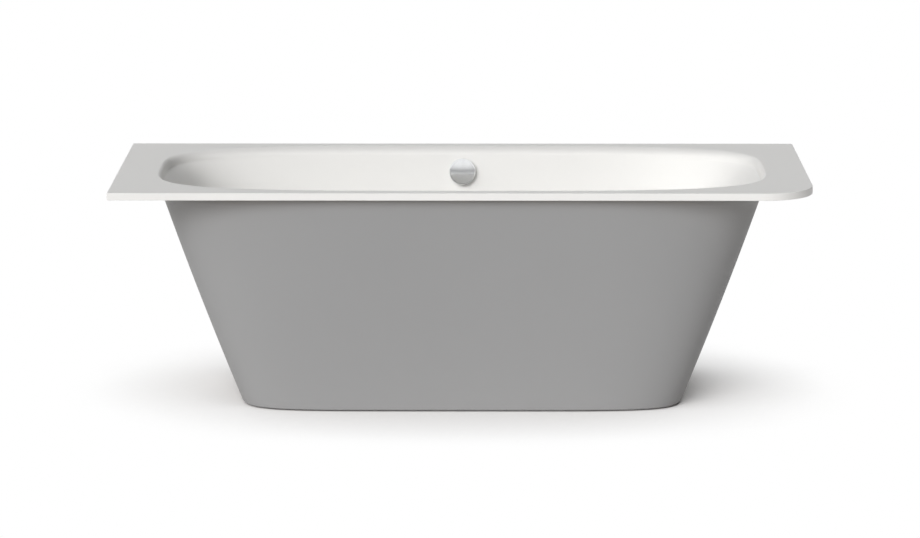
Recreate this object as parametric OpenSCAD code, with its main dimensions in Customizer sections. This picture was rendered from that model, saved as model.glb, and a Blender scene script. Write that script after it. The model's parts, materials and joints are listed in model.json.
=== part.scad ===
// Built-in bath with a flat deck, a moulded oval basin and a tapered casing.
// Origin: on the floor under the middle of the deck. X runs along the wall,
// the wall is on the +Y side, Z is up.

/* [Deck] */
// Length of the deck along the wall
bath_l = 1800; // [1700:10:1900]
// Width of the deck from the wall
bath_w = 800; // [780:5:860]
// Height of the deck above the floor
bath_h = 590; // [585:1:640]
// Radius of the deck's free corner
corner_r = 130; // [60:5:160]
// Height of the lip round the deck
lip_h = 19; // [17:1:28]
// Wall thickness of the moulded shell
shell_t = 5; // [4:0.5:5.5]
// Width of the deck at each end of the basin
deck_end = 104; // [96:1:120]
// Width of the deck in front of and behind the basin
deck_side = 32; // [30:1:36]

/* [Basin] */
// Depth of the basin at the waste
basin_d = 415; // [400:1:420]
// Fall of the basin floor towards the waste
floor_fall = 5; // [2:1:8]
// Depth of the rolled edge, down to the crease
roll_h = 24; // [22:1:30]
// How far the rolled edge comes in at the ends
roll_end = 12; // [9:1:16]
// How far the rolled edge comes in at the long sides
roll_side = 40; // [36:1:42]
// Lean of the long walls from upright, in degrees
wall_lean = 10; // [8:0.5:12]
// Half length of the basin where the bottom rounding starts
end_foot = 596; // [560:1:610]
// Lean of the backrests where the bottom rounding starts, in degrees
back_lean = 25; // [22:1:30]
// Height of the bottom rounding
fillet_h = 66; // [50:1:75]

/* [Casing] */
// Half length of the casing at the floor
case_foot_l = 576; // [540:1:600]
// How far the casing stands back from the deck's long edges at the floor
case_foot_back = 96; // [84:1:100]
// Half length of the casing under the neck
case_neck_l = 777; // [770:1:785]
// How far the casing stands back from the deck's long edges under the deck
case_top_back = 22; // [18:1:28]
// Wall thickness of the casing
case_t = 4; // [3:0.5:5]
// Gap between the casing and the floor
case_gap = 3; // [2:0.5:8]
// Radius of the casing's bottom edge
case_edge_r = 5; // [3:0.5:8]
// Width of the casing's turned-in bottom edge
case_return = 14; // [8:1:18]
// Width of the pipe cut-out in the back of the casing
cutout_w = 220; // [160:5:240]
// Height of the pipe cut-out
cutout_h = 150; // [140:5:180]

/* [Support] */
// Thickness of the board under the basin
board_t = 16; // [12:1:18]
// Length of the board
board_l = 900; // [800:10:920]
// Width of the board
board_w = 340; // [320:5:345]
// Distance of each leg bar from the middle
leg_x = 340; // [280:5:380]
// How far a leg bar reaches past its feet
leg_past = 35; // [30:1:40]
// Width of a leg bar
leg_w = 40; // [34:1:50]
// Height of a leg bar
leg_h = 25; // [20:1:30]
// Sheet thickness of a leg bar
leg_t = 2; // [1.5:0.25:3]
// Distance of each foot from the line of the deck's long edge
foot_back = 155; // [150:1:165]
// Diameter of the feet
foot_d = 56; // [44:1:60]
// Height of the feet
foot_h = 14; // [12:1:18]
// Diameter of the foot spindles
spindle_d = 12; // [10:1:12]
// Height of the foot spindles' tops above the leg bars
spindle_rise = 32; // [28:1:33]
// Width across the flats of the spindle nuts
nut_af = 19; // [17:1:22]

/* [Overflow] */
// Depth of the knob's centre below the deck
knob_drop = 65; // [62:1:80]
// Diameter of the knob
knob_d = 71.5; // [66:0.5:76]
// Gap behind the knob, where the overflow water enters
knob_gap = 6; // [6:0.5:9]
// Depth of the knob
knob_h = 16; // [15:0.5:20]
// Diameter of the overflow hole in the shell
overflow_d = 54; // [54:0.5:58]
// Outer diameter of the overflow pipe
pipe_d = 32; // [30:0.5:33]
// Wall thickness of the overflow pipe
pipe_t = 2.5; // [2:0.25:3]
// Bend radius of the overflow pipe
pipe_bend = 40; // [34:1:60]
// Diameter of the control cable's sheath
sheath_d = 5.5; // [4.5:0.1:6]

/* [Waste] */
// Diameter of the waste hole in the shell
waste_d = 52; // [51:0.5:56]
// Diameter of the waste flange
flange_d = 84; // [80:1:88]
// Depth of the seat moulded round the waste
recess_d = 4; // [3:0.5:5]
// Lift of the plug
plug_lift = 10; // [8:0.5:10]
// Height of the waste body
cup_h = 45; // [44:1:46]
// Outer diameter of the trap's tube
trap_d = 42; // [40:1:44]
// Bend radius of the trap
trap_bend = 33; // [31:1:36]
// Length of the trap's inlet above its bend
trap_leg = 37; // [36:1:40]
// Outer diameter of the outlet pipe
outlet_d = 40; // [38:1:42]
// Gap between the outlet pipe's end and the wall
outlet_gap = 8; // [5:1:30]
// Outer diameter of the spigot at the outlet pipe's end
outlet_end_d = 50; // [50:0.5:52]
// Length of that spigot
outlet_end_l = 50; // [40:1:55]

/* [Hidden] */
$fn = 64;

// Running fit of a turning or sliding pin, on the radius
fit = 0.08;
// Gap between pieces that only lie beside each other
near = 0.3;
// How far a cutting tool runs past a face
past = 1;

// Columns of the moulded forms; a multiple of 8, so that corners have one
cols = 88;
// Exponent of the oval from the deck to the crease, and at the basin floor
deck_oval = 3.8;
floor_oval = 4.4;
// Exponent of the casing's oval at the top and at the floor
case_top_oval = 4.6;
case_foot_oval = 6.2;
// How far the casing's ends swell past a straight line
case_swell = 3.5;
// Depth below the deck where the casing's neck starts and where it is full
neck_start = lip_h + 33;
neck_end = lip_h + 1;
// Radii of the lip's top and bottom edges
lip_edge = 2;
lip_foot = 1;

half_l = bath_l / 2;
half_w = bath_w / 2;
case_foot_w = half_w - case_foot_back;
case_top_w = half_w - case_top_back;
foot_y = half_w - foot_back;
leg_l = 2 * (foot_y + leg_past);
oval_a = half_l - deck_end;
oval_b = half_w - deck_side;
crease_a = oval_a - roll_end;
crease_b = oval_b - roll_side;

floor_z = bath_h - basin_d;
under_z = floor_z - shell_t;
board_z = under_z - board_t;
lip_z = bath_h - lip_h;
recess_z = floor_z - recess_d;
recess_r = flange_d / 2 + 3;

// Levels of the waste under the basin, from the seat down to the lever
gasket_t = 3;
thin_gasket_t = 1;
flange_r = flange_d / 2;
waste_top = recess_z - shell_t - gasket_t;
cup_z = waste_top - cup_h;
throat_z = waste_top - 13;
lever_z = throat_z - 7.5;

// Radii of the bottom rounding, which start at one height on ends and sides
foot_end_r = fillet_h / (1 - sin(back_lean));
foot_side_r = fillet_h / (1 - sin(wall_lean));

// Half width of the basin's long walls at depth d, which are straight
function wall_b(d) = crease_b - (d - roll_h) * tan(wall_lean);

// Steepness of the backrest just below the crease, as run over drop
top_run = 1.53;
rest_drop = 66;

// Direction of column i, spaced so that ovals and deck corners are both met
function bearing(i) = let (
        t = 360 * i / cols, q = floor(t / 90), r = t - 90 * q,
        u = q % 2 == 0 ? r : 90 - r,
        g = u > 89.99 ? 90 : atan(bath_w / bath_l * pow(tan(u), 2 / deck_oval)))
    90 * q + (q % 2 == 0 ? g : 90 - g);

function oval_radius(f, a, b, n) =
    1 / pow(pow(abs(cos(f)) / a, n) + pow(abs(sin(f)) / b, n), 1 / n);

// Radius of the deck outline, whose +X -Y corner is round
function deck_radius(f, e) = let (
        hx = half_l - e, hy = half_w - e, r = corner_r - e,
        c = abs(cos(f)), s = abs(sin(f)),
        d = min(hx / max(c, 1e-6), hy / max(s, 1e-6)),
        px = hx - r, py = hy - r, m = px * c + py * s)
    cos(f) > 0 && sin(f) < 0 && d * c > px && d * s > py
        ? m + sqrt(m * m - px * px - py * py + r * r) : d;

function oval(z, a, b, n) = [for (i = [0:cols - 1])
    let (f = bearing(i), r = oval_radius(f, a, b, n)) [r * cos(f), r * sin(f), z]];
function deck(z, e) = [for (i = [0:cols - 1])
    let (f = bearing(i), r = deck_radius(f, e)) [r * cos(f), r * sin(f), z]];

// Rings joined in order, and the last one to the first, make a closed moulding
module moulding(rings) {
    m = len(rings);
    polyhedron([for (r = rings) each r],
        [for (j = [0:m - 1], i = [0:cols - 1]) let (k = (i + 1) % cols, h = (j + 1) % m)
            each [[j * cols + i, h * cols + k, j * cols + k],
                [j * cols + i, h * cols + i, h * cols + k]]],
        convexity = 12);
}

// A round edge between deck and basin; e is 0 on the water side, shell_t below
function roll_rings(e, steps) = [for (k = [0:steps]) let (t = 90 * k / steps)
    oval(bath_h - roll_h + (roll_h - e) * cos(t),
        oval_a - (roll_end - e) * sin(t), oval_b - (roll_side - e) * sin(t), deck_oval)];

// The walls: backrests on a curve, long sides straight
function wall_rings(e, steps) = let (
        z0 = bath_h - roll_h, z2 = bath_h - basin_d + (e > 0 ? -e : floor_fall) + fillet_h,
        a0 = crease_a + 1.3 * e, a1 = crease_a - top_run * rest_drop + 1.3 * e,
        a2 = end_foot + e / cos(back_lean), z1 = z0 - rest_drop)
    [for (k = [1:steps - 1]) let (t = k / steps, p = (1 - t) * (1 - t), q = 2 * t * (1 - t),
            z = p * z0 + q * z1 + t * t * z2)
        oval(z, p * a0 + q * a1 + t * t * a2,
            wall_b(bath_h - z) + e / cos(wall_lean),
            deck_oval + (floor_oval - deck_oval) * t)];

// The bottom rounding, tangent to the floor and to the walls
function foot_rings(e, steps) = let (
        bottom = bath_h - basin_d + (e > 0 ? -e : floor_fall),
        ra = foot_end_r + e, rb = foot_side_r + e, top = bottom + fillet_h,
        a2 = end_foot + e / cos(back_lean), b2 = wall_b(bath_h - top) + e / cos(wall_lean),
        ea = asin((bottom + ra - top) / ra), eb = asin((bottom + rb - top) / rb),
        ca = a2 - ra * cos(ea), cb = b2 - rb * cos(eb))
    [for (k = [0:steps]) let (z = bottom + fillet_h * (1 - sin(90 * k / steps)))
        oval(z, ca + ra * cos(asin(min(1, (bottom + ra - z) / ra))),
            cb + rb * cos(asin(min(1, (bottom + rb - z) / rb))), floor_oval)];

// The seat moulded round the waste hole, as rings from the floor to the hole
seat_rings = [
    oval(floor_z, recess_r, recess_r, 2),
    oval(recess_z, recess_r - 1.5, recess_r - 1.5, 2),
    oval(recess_z, waste_d / 4, waste_d / 4, 2)];
seat_under_rings = [
    oval(recess_z - shell_t, waste_d / 4, waste_d / 4, 2),
    oval(recess_z - shell_t, recess_r + shell_t - 1.5, recess_r + shell_t - 1.5, 2),
    oval(under_z, recess_r + shell_t, recess_r + shell_t, 2)];

function turned(rings) = [for (k = [len(rings) - 1:-1:0]) rings[k]];

module bath_shell() {
    color("#f6f6f4") difference() {
        moulding(concat(
            [deck(lip_z, shell_t), deck(lip_z, lip_foot), deck(lip_z + lip_foot, 0),
                deck(bath_h - lip_edge, 0),
                deck(bath_h - lip_edge * (1 - cos(45)), lip_edge * (1 - cos(45))),
                deck(bath_h, lip_edge)],
            roll_rings(0, 5), wall_rings(0, 9), foot_rings(0, 6),
            seat_rings, seat_under_rings,
            turned(foot_rings(shell_t, 4)), turned(wall_rings(shell_t, 7)),
            turned(roll_rings(shell_t, 3)), [deck(bath_h - shell_t, shell_t)]));
        at_overflow() cylinder(d = overflow_d, h = 6 * shell_t, center = true);
        translate([0, 0, recess_z]) cylinder(d = waste_d, h = 6 * shell_t, center = true);
    }
}

// Battens under the deck, which stiffen it and take the casing's screws
batten_t = lip_h - shell_t;
batten_side = half_w - shell_t - near;
batten_in = oval_b - 8;
batten_bevel = 2.5;
batten_l = 2 * (half_l - corner_r - 30);
end_batten_l = 460;
end_batten_w = 60;
end_batten_in = oval_a + past;
screw_y = batten_in + 4.5;
screw_x = [-400, -150, 150, 400];

module long_batten(side) {
    color("#c9a679") difference() {
        rotate(side > 0 ? 0 : 180) translate([-batten_l / 2, 0, lip_z])
            rotate([90, 0, 90]) linear_extrude(batten_l) polygon([
                [batten_in, 0], [batten_side, 0], [batten_side, batten_t],
                [oval_b + 2, batten_t], [batten_in, batten_t - batten_bevel]]);
        for (x = screw_x)
            translate([x, side * screw_y, lip_z - past])
                cylinder(r = wood_screw_r + fit, h = wood_screw_l + past);
    }
}
module end_batten(side) {
    color("#c9a679")
        translate([side > 0 ? end_batten_in : -end_batten_in - end_batten_w,
            -end_batten_l / 2, lip_z])
            cube([end_batten_w, end_batten_l, batten_t]);
}
module front_batten() { long_batten(-1); }
module back_batten() { long_batten(1); }
module left_batten() { end_batten(-1); }
module right_batten() { end_batten(1); }

wood_screw_r = 2;
wood_screw_head_r = 4.2;
wood_screw_head_h = 2.6;
wood_screw_l = 10;

// A pan-head screw that points up, its head's top at the origin
module wood_screw(sheet) {
    color("silver") union() {
        cylinder(r = wood_screw_r, h = sheet + wood_screw_l);
        intersection() {
            translate([0, 0, -wood_screw_head_h])
                cylinder(r = wood_screw_head_r, h = wood_screw_head_h);
            translate([0, 0, 3]) sphere(r = 3 + wood_screw_head_h);
        }
    }
}

module casing_screws() {
    for (x = screw_x, side = [-1, 1])
        translate([x, side * screw_y, lip_z - case_t]) wood_screw(case_t);
}

// The casing's outer wall at height z: half length, half width and exponent
neck_z = bath_h - neck_start;
neck_full_z = bath_h - neck_end;
neck_out = crease_a + 2.8 * shell_t + case_t - case_neck_l
    - (case_neck_l - case_foot_l) * (neck_start - neck_end) / (neck_z - case_gap);
function case_share(z) = (z - case_gap) / (neck_z - case_gap);
function case_flare(z) = z <= neck_z ? 0
    : neck_out * sin(90 * min(1, (z - neck_z) / (neck_full_z - neck_z)));
function case_a(z) = let (s = case_share(z))
    case_foot_l + (case_neck_l - case_foot_l) * s
        + case_swell * 4 * s * max(0, 1 - s) + case_flare(z);
function case_b(z) = case_foot_w + (case_top_w - case_foot_w) * (z - case_gap)
    / (lip_z - case_gap);
function case_n(z) = case_foot_oval + (case_top_oval - case_foot_oval)
    * (z - case_gap) / (lip_z - case_gap);
function case_ring(z, e) = oval(z, case_a(z) - e, case_b(z) - e, case_n(z));

case_flange_a = crease_a + 2 * shell_t;
case_flange_b = oval_b - 10;
function case_rows(n) = [for (k = [1:n])
    case_gap + case_edge_r + (neck_z - case_gap - case_edge_r) * k / n];
function neck_rows(n, top) = [for (k = [1:n]) neck_z + (top - neck_z) * k / n];
cutout_x = 30;
cutout_r = 50;

module casing() {
    color("#9a9a9a") difference() {
        moulding(concat(
            [for (t = [0:30:90]) case_ring(case_gap + case_edge_r * (1 - cos(t)),
                case_edge_r * (1 - sin(t)))],
            [for (z = concat(case_rows(5), neck_rows(5, neck_full_z))) case_ring(z, 0)],
            [case_ring(lip_z, 0), oval(lip_z, case_flange_a, case_flange_b, deck_oval),
                oval(lip_z - case_t, case_flange_a, case_flange_b, deck_oval)],
            turned([for (z = concat(case_rows(3), neck_rows(4, lip_z - case_t)))
                case_ring(z, case_t)]),
            [case_ring(case_gap + case_t + 2, case_t),
                case_ring(case_gap + case_t, case_edge_r + case_return),
                case_ring(case_gap, case_edge_r + case_return)]));
        for (x = screw_x, side = [-1, 1])
            translate([x, side * screw_y, lip_z - 2 * case_t])
                cylinder(r = wood_screw_r + fit, h = 3 * case_t);
        translate([cutout_x, half_w, 0]) rotate([90, 0, 0]) linear_extrude(half_w)
            union() {
                translate([-cutout_w / 2, -past])
                    square([cutout_w, cutout_h - cutout_r + past]);
                translate([-cutout_w / 2 + cutout_r, 0])
                    square([cutout_w - 2 * cutout_r, cutout_h]);
                for (s = [-1, 1])
                    translate([s * (cutout_w / 2 - cutout_r), cutout_h - cutout_r])
                        circle(r = cutout_r);
            }
    }
}

// The board bonded under the basin, and the leg bars screwed to it
board_corner_r = 60;
board_hole_r = recess_r + shell_t + 7;
leg_screw_y = [-130, -45, 45, 130];

module rounded_slab(l, w, r, h) {
    linear_extrude(h) union() {
        square([l - 2 * r, w], center = true);
        square([l, w - 2 * r], center = true);
        for (x = [-1, 1], y = [-1, 1]) translate([x * (l / 2 - r), y * (w / 2 - r)]) circle(r = r);
    }
}
module base_board() {
    color("#b98f5f") difference() {
        translate([0, 0, board_z]) rounded_slab(board_l, board_w, board_corner_r, board_t);
        translate([0, 0, board_z - past]) cylinder(r = board_hole_r, h = board_t + 2 * past);
        for (x = [-leg_x, leg_x], y = leg_screw_y)
            translate([x, y, board_z - past]) cylinder(r = wood_screw_r + fit,
                h = wood_screw_l + past);
    }
}

module leg_bar(x) {
    color("#b9bcc0") difference() {
        translate([x, leg_l / 2, board_z - leg_h]) rotate([90, 0, 0]) linear_extrude(leg_l)
            difference() {
                translate([-leg_w / 2, 0]) square([leg_w, leg_h]);
                translate([-leg_w / 2 + leg_t, -past])
                    square([leg_w - 2 * leg_t, leg_h - leg_t + past]);
            }
        for (y = [-foot_y, foot_y])
            translate([x, y, board_z - 2 * leg_t]) cylinder(d = spindle_d + 1, h = 3 * leg_t);
        for (y = leg_screw_y)
            translate([x, y, board_z - 2 * leg_t])
                cylinder(r = wood_screw_r + fit, h = 3 * leg_t);
    }
}
module left_leg_bar() { leg_bar(-leg_x); }
module right_leg_bar() { leg_bar(leg_x); }

module leg_screws() {
    for (x = [-leg_x, leg_x], y = leg_screw_y)
        translate([x, y, board_z - leg_t]) wood_screw(leg_t);
}

// Each spindle turns in a nut under its leg bar and is locked by one on top
nut_h = 10;
lock_nut_h = 6;
spindle_z = 5;
spindle_l = board_z + spindle_rise - spindle_z;
module hex_nut(h) {
    difference() {
        cylinder(d = nut_af / cos(30), h = h, $fn = 6);
        translate([0, 0, -past]) cylinder(d = spindle_d + 2 * fit, h = h + 2 * past);
    }
}
module foot_nuts() {
    color("silver") for (x = [-leg_x, leg_x], y = [-foot_y, foot_y]) {
        translate([x, y, board_z - leg_t - nut_h]) hex_nut(nut_h);
        translate([x, y, board_z]) hex_nut(lock_nut_h);
    }
}
module foot_pad(x, y) {
    color("#2f3133") translate([x, y, 0]) difference() {
        rotate_extrude() polygon([[0, 0], [foot_d / 2, 0], [foot_d / 2, 4],
            [spindle_d / 2 + 6, foot_h - 4], [spindle_d / 2 + 5, foot_h], [0, foot_h]]);
        translate([0, 0, spindle_z]) cylinder(d = spindle_d + 2 * fit, h = foot_h);
    }
}
module foot_spindle(x, y) {
    color("silver") translate([x, y, spindle_z]) union() {
        cylinder(d = spindle_d, h = spindle_l - 1);
        translate([0, 0, spindle_l - 1]) cylinder(d1 = spindle_d, d2 = spindle_d - 2, h = 1);
        translate([0, 0, foot_h - spindle_z]) cylinder(d = nut_af / cos(30), h = 8, $fn = 6);
    }
}
module front_left_pad() { foot_pad(-leg_x, -foot_y); }
module front_right_pad() { foot_pad(leg_x, -foot_y); }
module back_left_pad() { foot_pad(-leg_x, foot_y); }
module back_right_pad() { foot_pad(leg_x, foot_y); }
module front_left_spindle() { foot_spindle(-leg_x, -foot_y); }
module front_right_spindle() { foot_spindle(leg_x, -foot_y); }
module back_left_spindle() { foot_spindle(-leg_x, foot_y); }
module back_right_spindle() { foot_spindle(leg_x, foot_y); }

// The overflow stands square on the back wall: local Z points into the basin,
// local Y up the wall, and the wall's water side is at local Z = 0
knob_z = bath_h - knob_drop;
knob_y = wall_b(knob_drop);
module at_overflow() {
    translate([0, knob_y, knob_z]) rotate([90 - wall_lean, 0, 0]) children();
}
function overflow_point(p) = [p[0],
    knob_y + p[1] * sin(wall_lean) - p[2] * cos(wall_lean),
    knob_z + p[1] * cos(wall_lean) + p[2] * sin(wall_lean)];

knob_r = knob_d / 2;
pipe_r = pipe_d / 2;
union_nut_r = pipe_r + 3.5;
knob_wall = 2.5;
knob_edge = 5;
knob_crown = 3;
shaft_r = 4;
shaft_top = knob_gap + knob_h - 6;
hub_z = knob_gap + 1.5;
set_screw_r = 2;
set_screw_z = hub_z + 3.5;

// Half profile of a knob: upright skirt, round edge, low crown
function knob_profile(r, base, top, edge, crown) = concat([[0, base], [r, base]],
    [for (t = [0:15:90]) [r - edge + edge * cos(t), top - crown - edge + edge * sin(t)]],
    [for (k = [1:6]) let (x = (r - edge) * (1 - k / 6))
        [x, top - crown * pow(x / (r - edge), 2)]]);

module overflow_knob() {
    color("#d9dbdd") at_overflow() difference() {
        rotate_extrude($fn = 96)
            polygon(knob_profile(knob_r, knob_gap, knob_gap + knob_h, knob_edge, knob_crown));
        difference() {
            translate([0, 0, -knob_wall]) rotate_extrude($fn = 96)
                polygon(knob_profile(knob_r - knob_wall, knob_gap - past,
                    knob_gap + knob_h, knob_edge, knob_crown));
            translate([0, 0, hub_z]) cylinder(r = shaft_r + 4, h = knob_h);
        }
        cylinder(r = shaft_r + 0.03, h = shaft_top + near);
        translate([0, 0, set_screw_z]) rotate([90, 0, 0]) cylinder(r = set_screw_r, h = knob_r + past);
    }
}
module knob_set_screw() {
    color("#3a3c3f") at_overflow() translate([0, -shaft_r, set_screw_z]) rotate([90, 0, 0])
        difference() {
            cylinder(r = set_screw_r - 0.05, h = 6);
            translate([0, 0, 4]) cylinder(r = 1.1, h = 3, $fn = 6);
        }
}

// The shaft carries the cable drum inside the overflow body
body_flange_z = -shell_t - 3;
body_back_z = body_flange_z - 30;
body_wall = 2.5;
cup_r = 30;
drum_r = 10;
module overflow_shaft() {
    color("#c8cacc") at_overflow() union() {
        translate([0, 0, body_back_z + body_wall + near])
            cylinder(r = shaft_r, h = shaft_top - body_back_z - body_wall - near);
        translate([0, 0, body_back_z + body_wall + 4]) rotate_extrude()
            polygon([[0, 0], [drum_r, 0], [drum_r, 1], [drum_r - 1.2, 2.5], [drum_r, 4],
                [drum_r, 5], [0, 5]]);
    }
}

// The face plate clamps the wall between itself and the overflow body
plate_r = 32;
boss_x = 14;
machine_screw_r = 1.5;
module overflow_flange() {
    color("#cfd1d3") at_overflow() difference() {
        union() {
            translate([0, 0, 0.1]) cylinder(r = plate_r, h = 2.9);
            translate([0, 0, -4]) cylinder(r = shaft_r + 4, h = knob_gap + 3.5);
        }
        translate([0, 0, -5]) cylinder(r = shaft_r + fit, h = 20);
        for (t = [30:60:330]) rotate(t) translate([20, 0, -past]) cylinder(r = 4.5, h = 6);
        for (s = [-1, 1])
            translate([s * boss_x, 0, -past]) cylinder(r = machine_screw_r + fit, h = 6);
    }
}
module overflow_gasket() {
    color("#1d1e20") at_overflow() translate([0, 0, body_flange_z]) difference() {
        cylinder(r = 36, h = -shell_t - body_flange_z - 0.1);
        translate([0, 0, -past]) cylinder(d = overflow_d, h = 6);
    }
}

// Axis of the overflow pipe and of the cable beside it, behind the wall
pipe_z = -shell_t - union_nut_r - 0.7;
cable_x = -24;
collar_end = 46;
module overflow_body() {
    color("#e6e6e2") at_overflow() difference() {
        union() {
            translate([0, 0, body_flange_z - 3]) cylinder(r = 36, h = 3);
            translate([0, 0, body_back_z]) cylinder(r = cup_r, h = body_flange_z - body_back_z);
            translate([0, 0, pipe_z]) rotate([90, 0, 0])
                cylinder(r = pipe_r, h = collar_end, $fn = 48);
            translate([0, 0, pipe_z]) rotate([90, 0, 0])
                cylinder(r = nozzle_r, h = collar_end + 12, $fn = 48);
            translate([cable_x, -10, pipe_z]) rotate([90, 0, 0]) cylinder(r = sheath_r + 2.5, h = 25);
        }
        difference() {
            translate([0, 0, body_back_z + body_wall]) cylinder(r = cup_r - body_wall, h = 60);
            for (s = [-1, 1])
                translate([s * boss_x, 0, body_back_z]) cylinder(r = 3.4, h = -body_back_z - 0.2);
            translate([0, 0, body_back_z]) cylinder(r = shaft_r + 3, h = body_wall + 3.5);
        }
        translate([0, 0, body_back_z + body_wall]) cylinder(r = shaft_r + fit, h = 10);
        for (s = [-1, 1])
            translate([s * boss_x, 0, -21]) cylinder(r = machine_screw_r + 0.02, h = 30);
        translate([0, -cup_r + body_wall + 4, pipe_z]) rotate([90, 0, 0])
            cylinder(r = nozzle_r - 2, h = 60, $fn = 48);
        translate([cable_x, -12, pipe_z]) rotate([90, 0, 0]) cylinder(r = 1.2, h = 20);
        translate([cable_x, -24, pipe_z]) rotate([90, 0, 0])
            cylinder(r = sheath_r + near, h = 20);
    }
}
module overflow_screws() {
    color("silver") for (s = [-1, 1]) at_overflow() translate([s * boss_x, 0, 0]) union() {
        translate([0, 0, -20]) cylinder(r = machine_screw_r, h = 23);
        translate([0, 0, 3]) cylinder(r1 = 3, r2 = 2.2, h = 1.8);
    }
}

// The overflow pipe runs down along the wall and turns in under the board
pipe_in_r = pipe_r - pipe_t;
nozzle_r = pipe_in_r - 0.1;
pipe_start = overflow_point([0, -collar_end - near, pipe_z]);
run_z = board_z - union_nut_r - 1;
bend_turn = 90 - wall_lean;
meet_y = pipe_start[1] - (pipe_start[2] - run_z) * tan(wall_lean);
bend_y = meet_y - pipe_bend * tan(bend_turn / 2);
down_l = (pipe_start[2] - run_z) / cos(wall_lean) - pipe_bend * tan(bend_turn / 2);

module tube(r, bore, h) {
    difference() {
        cylinder(r = r, h = h, $fn = 48);
        translate([0, 0, -past]) cylinder(r = bore, h = h + 2 * past, $fn = 48);
    }
}
// Places children on a bend in the YZ plane: local X turns from +Y round to +Z
module at_bend() {
    translate([0, bend_y, run_z + pipe_bend]) rotate([90, 0, 90]) children();
}
module overflow_pipe() {
    color("#e9e9e6") at_overflow() translate([0, -collar_end - near, pipe_z])
        rotate([90, 0, 0]) tube(pipe_r, pipe_in_r, down_l - near);
}
module link_pipe() {
    color("#e9e9e6") translate([0, inlet_end + near, run_z]) rotate([-90, 0, 0])
        tube(pipe_r, pipe_in_r, bend_y - inlet_end - 2 * near);
}
// The elbow's sockets slip over the ends of both pipes
socket_l = 14;
socket_t = 2.5;
module overflow_elbow() {
    color("#dedfdb") at_bend() difference() {
        union() {
            rotate(270) rotate_extrude(angle = bend_turn)
                translate([pipe_bend, 0]) circle(r = pipe_r, $fn = 48);
            translate([socket_l / 8, -pipe_bend, 0]) rotate([0, -90, 0])
                cylinder(r = pipe_r + socket_t, h = socket_l * 9 / 8, $fn = 48);
            rotate(bend_turn) translate([-socket_l / 8, -pipe_bend, 0]) rotate([0, 90, 0])
                cylinder(r = pipe_r + socket_t, h = socket_l * 9 / 8, $fn = 48);
        }
        rotate(269) rotate_extrude(angle = bend_turn + 2)
            translate([pipe_bend, 0]) circle(r = pipe_in_r, $fn = 48);
        translate([0, -pipe_bend, 0]) rotate([0, -90, 0])
            cylinder(r = pipe_r + fit, h = socket_l + past, $fn = 48);
        rotate(bend_turn) translate([0, -pipe_bend, 0]) rotate([0, 90, 0])
            cylinder(r = pipe_r + fit, h = socket_l + past, $fn = 48);
    }
}
union_nut_l = 23;
module union_nut(r, bore, l) {
    difference() {
        union() {
            cylinder(r = r - 1, h = l);
            for (k = [0:11]) rotate(30 * k) translate([r - 2, -1.5, 1]) cube([2, 3, l - 2]);
        }
        translate([0, 0, -past]) cylinder(r = bore, h = l + 2 * past);
    }
}
module overflow_nuts() {
    color("#dcdcd8") {
        at_overflow() translate([0, -collar_end + 9, pipe_z]) rotate([90, 0, 0])
            union_nut(union_nut_r, pipe_r + fit, union_nut_l);
        translate([0, inlet_end + near - 9, run_z]) rotate([-90, 0, 0])
            union_nut(union_nut_r, pipe_r + fit, union_nut_l);
    }
}

// The control cable: a sheath from the overflow body to the waste body
sheath_r = sheath_d / 2;
gland_z = lever_z - 14.5;
gland_x = -38;
cable_route = concat(
    [for (s = [24, 60, 120, 180, 240, 300]) overflow_point([cable_x, -s, pipe_z])],
    [for (p = [[-27, 283, 48], [-33, 263, 19], [-43, 230, 4], [-54, 190, -1],
        [-64, 150, -3], [-72, 110, -3], [-77, 75, -2], [-78, 48, -1], [-75, 26, 0],
        [-67, 9, 0], [-57, 2, 0], [-50, 0, 0], [-44, 0, 0]]) p + [0, 0, gland_z]],
    [[gland_x, 0, gland_z]]);

// A smooth line through points: n steps from each point to the next
function smooth(p, n) = concat([for (i = [0:len(p) - 2], k = [0:n - 1]) let (
        t = k / n, a = p[max(0, i - 1)], b = p[i], c = p[i + 1], d = p[min(len(p) - 1, i + 2)])
    b + t * ((c - a) / 2 + t * (a - 2.5 * b + 2 * c - d / 2 + t * ((3 * b - a - 3 * c + d) / 2)))],
    [p[len(p) - 1]]);
function unit(v) = v / norm(v);
function headings(p) = [for (i = [0:len(p) - 1])
    unit(p[min(len(p) - 1, i + 1)] - p[max(0, i - 1)])];
function lean(v, t) = unit(v - (v * t) * t);
module swept_rod(line, r, sides) {
    t = headings(line);
    n = [for (i = 0, v = lean([1, 0, 0], t[0]); i < len(line);
        i = i + 1, v = i < len(line) ? lean(v, t[i]) : v) v];
    polyhedron(
        [for (i = [0:len(line) - 1], k = [0:sides - 1]) let (a = 360 * k / sides)
            line[i] + r * (cos(a) * n[i] + sin(a) * cross(t[i], n[i]))],
        concat([[for (k = [0:sides - 1]) k],
            [for (k = [sides - 1:-1:0]) (len(line) - 1) * sides + k]],
            [for (i = [0:len(line) - 2], k = [0:sides - 1]) let (
                a = i * sides + k, b = i * sides + (k + 1) % sides)
                each [[a, b + sides, b], [a, a + sides, b + sides]]]),
        convexity = 8);
}
core_r = 1;
core_reach = 10;
module cable_sheath() {
    color("#26282a") difference() {
        swept_rod(smooth(cable_route, 3), sheath_r, 8);
        translate([gland_x + past, 0, gland_z]) rotate([0, -90, 0])
            cylinder(r = core_r + 0.15, h = core_reach + past + 1, $fn = 24);
    }
}
module cable_core() {
    color("silver") translate([gland_x - core_reach, 0, gland_z]) rotate([0, 90, 0])
        cylinder(r = core_r, h = push_x - near - gland_x + core_reach, $fn = 24);
}
clip_at = [110, 200, 290];
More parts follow.
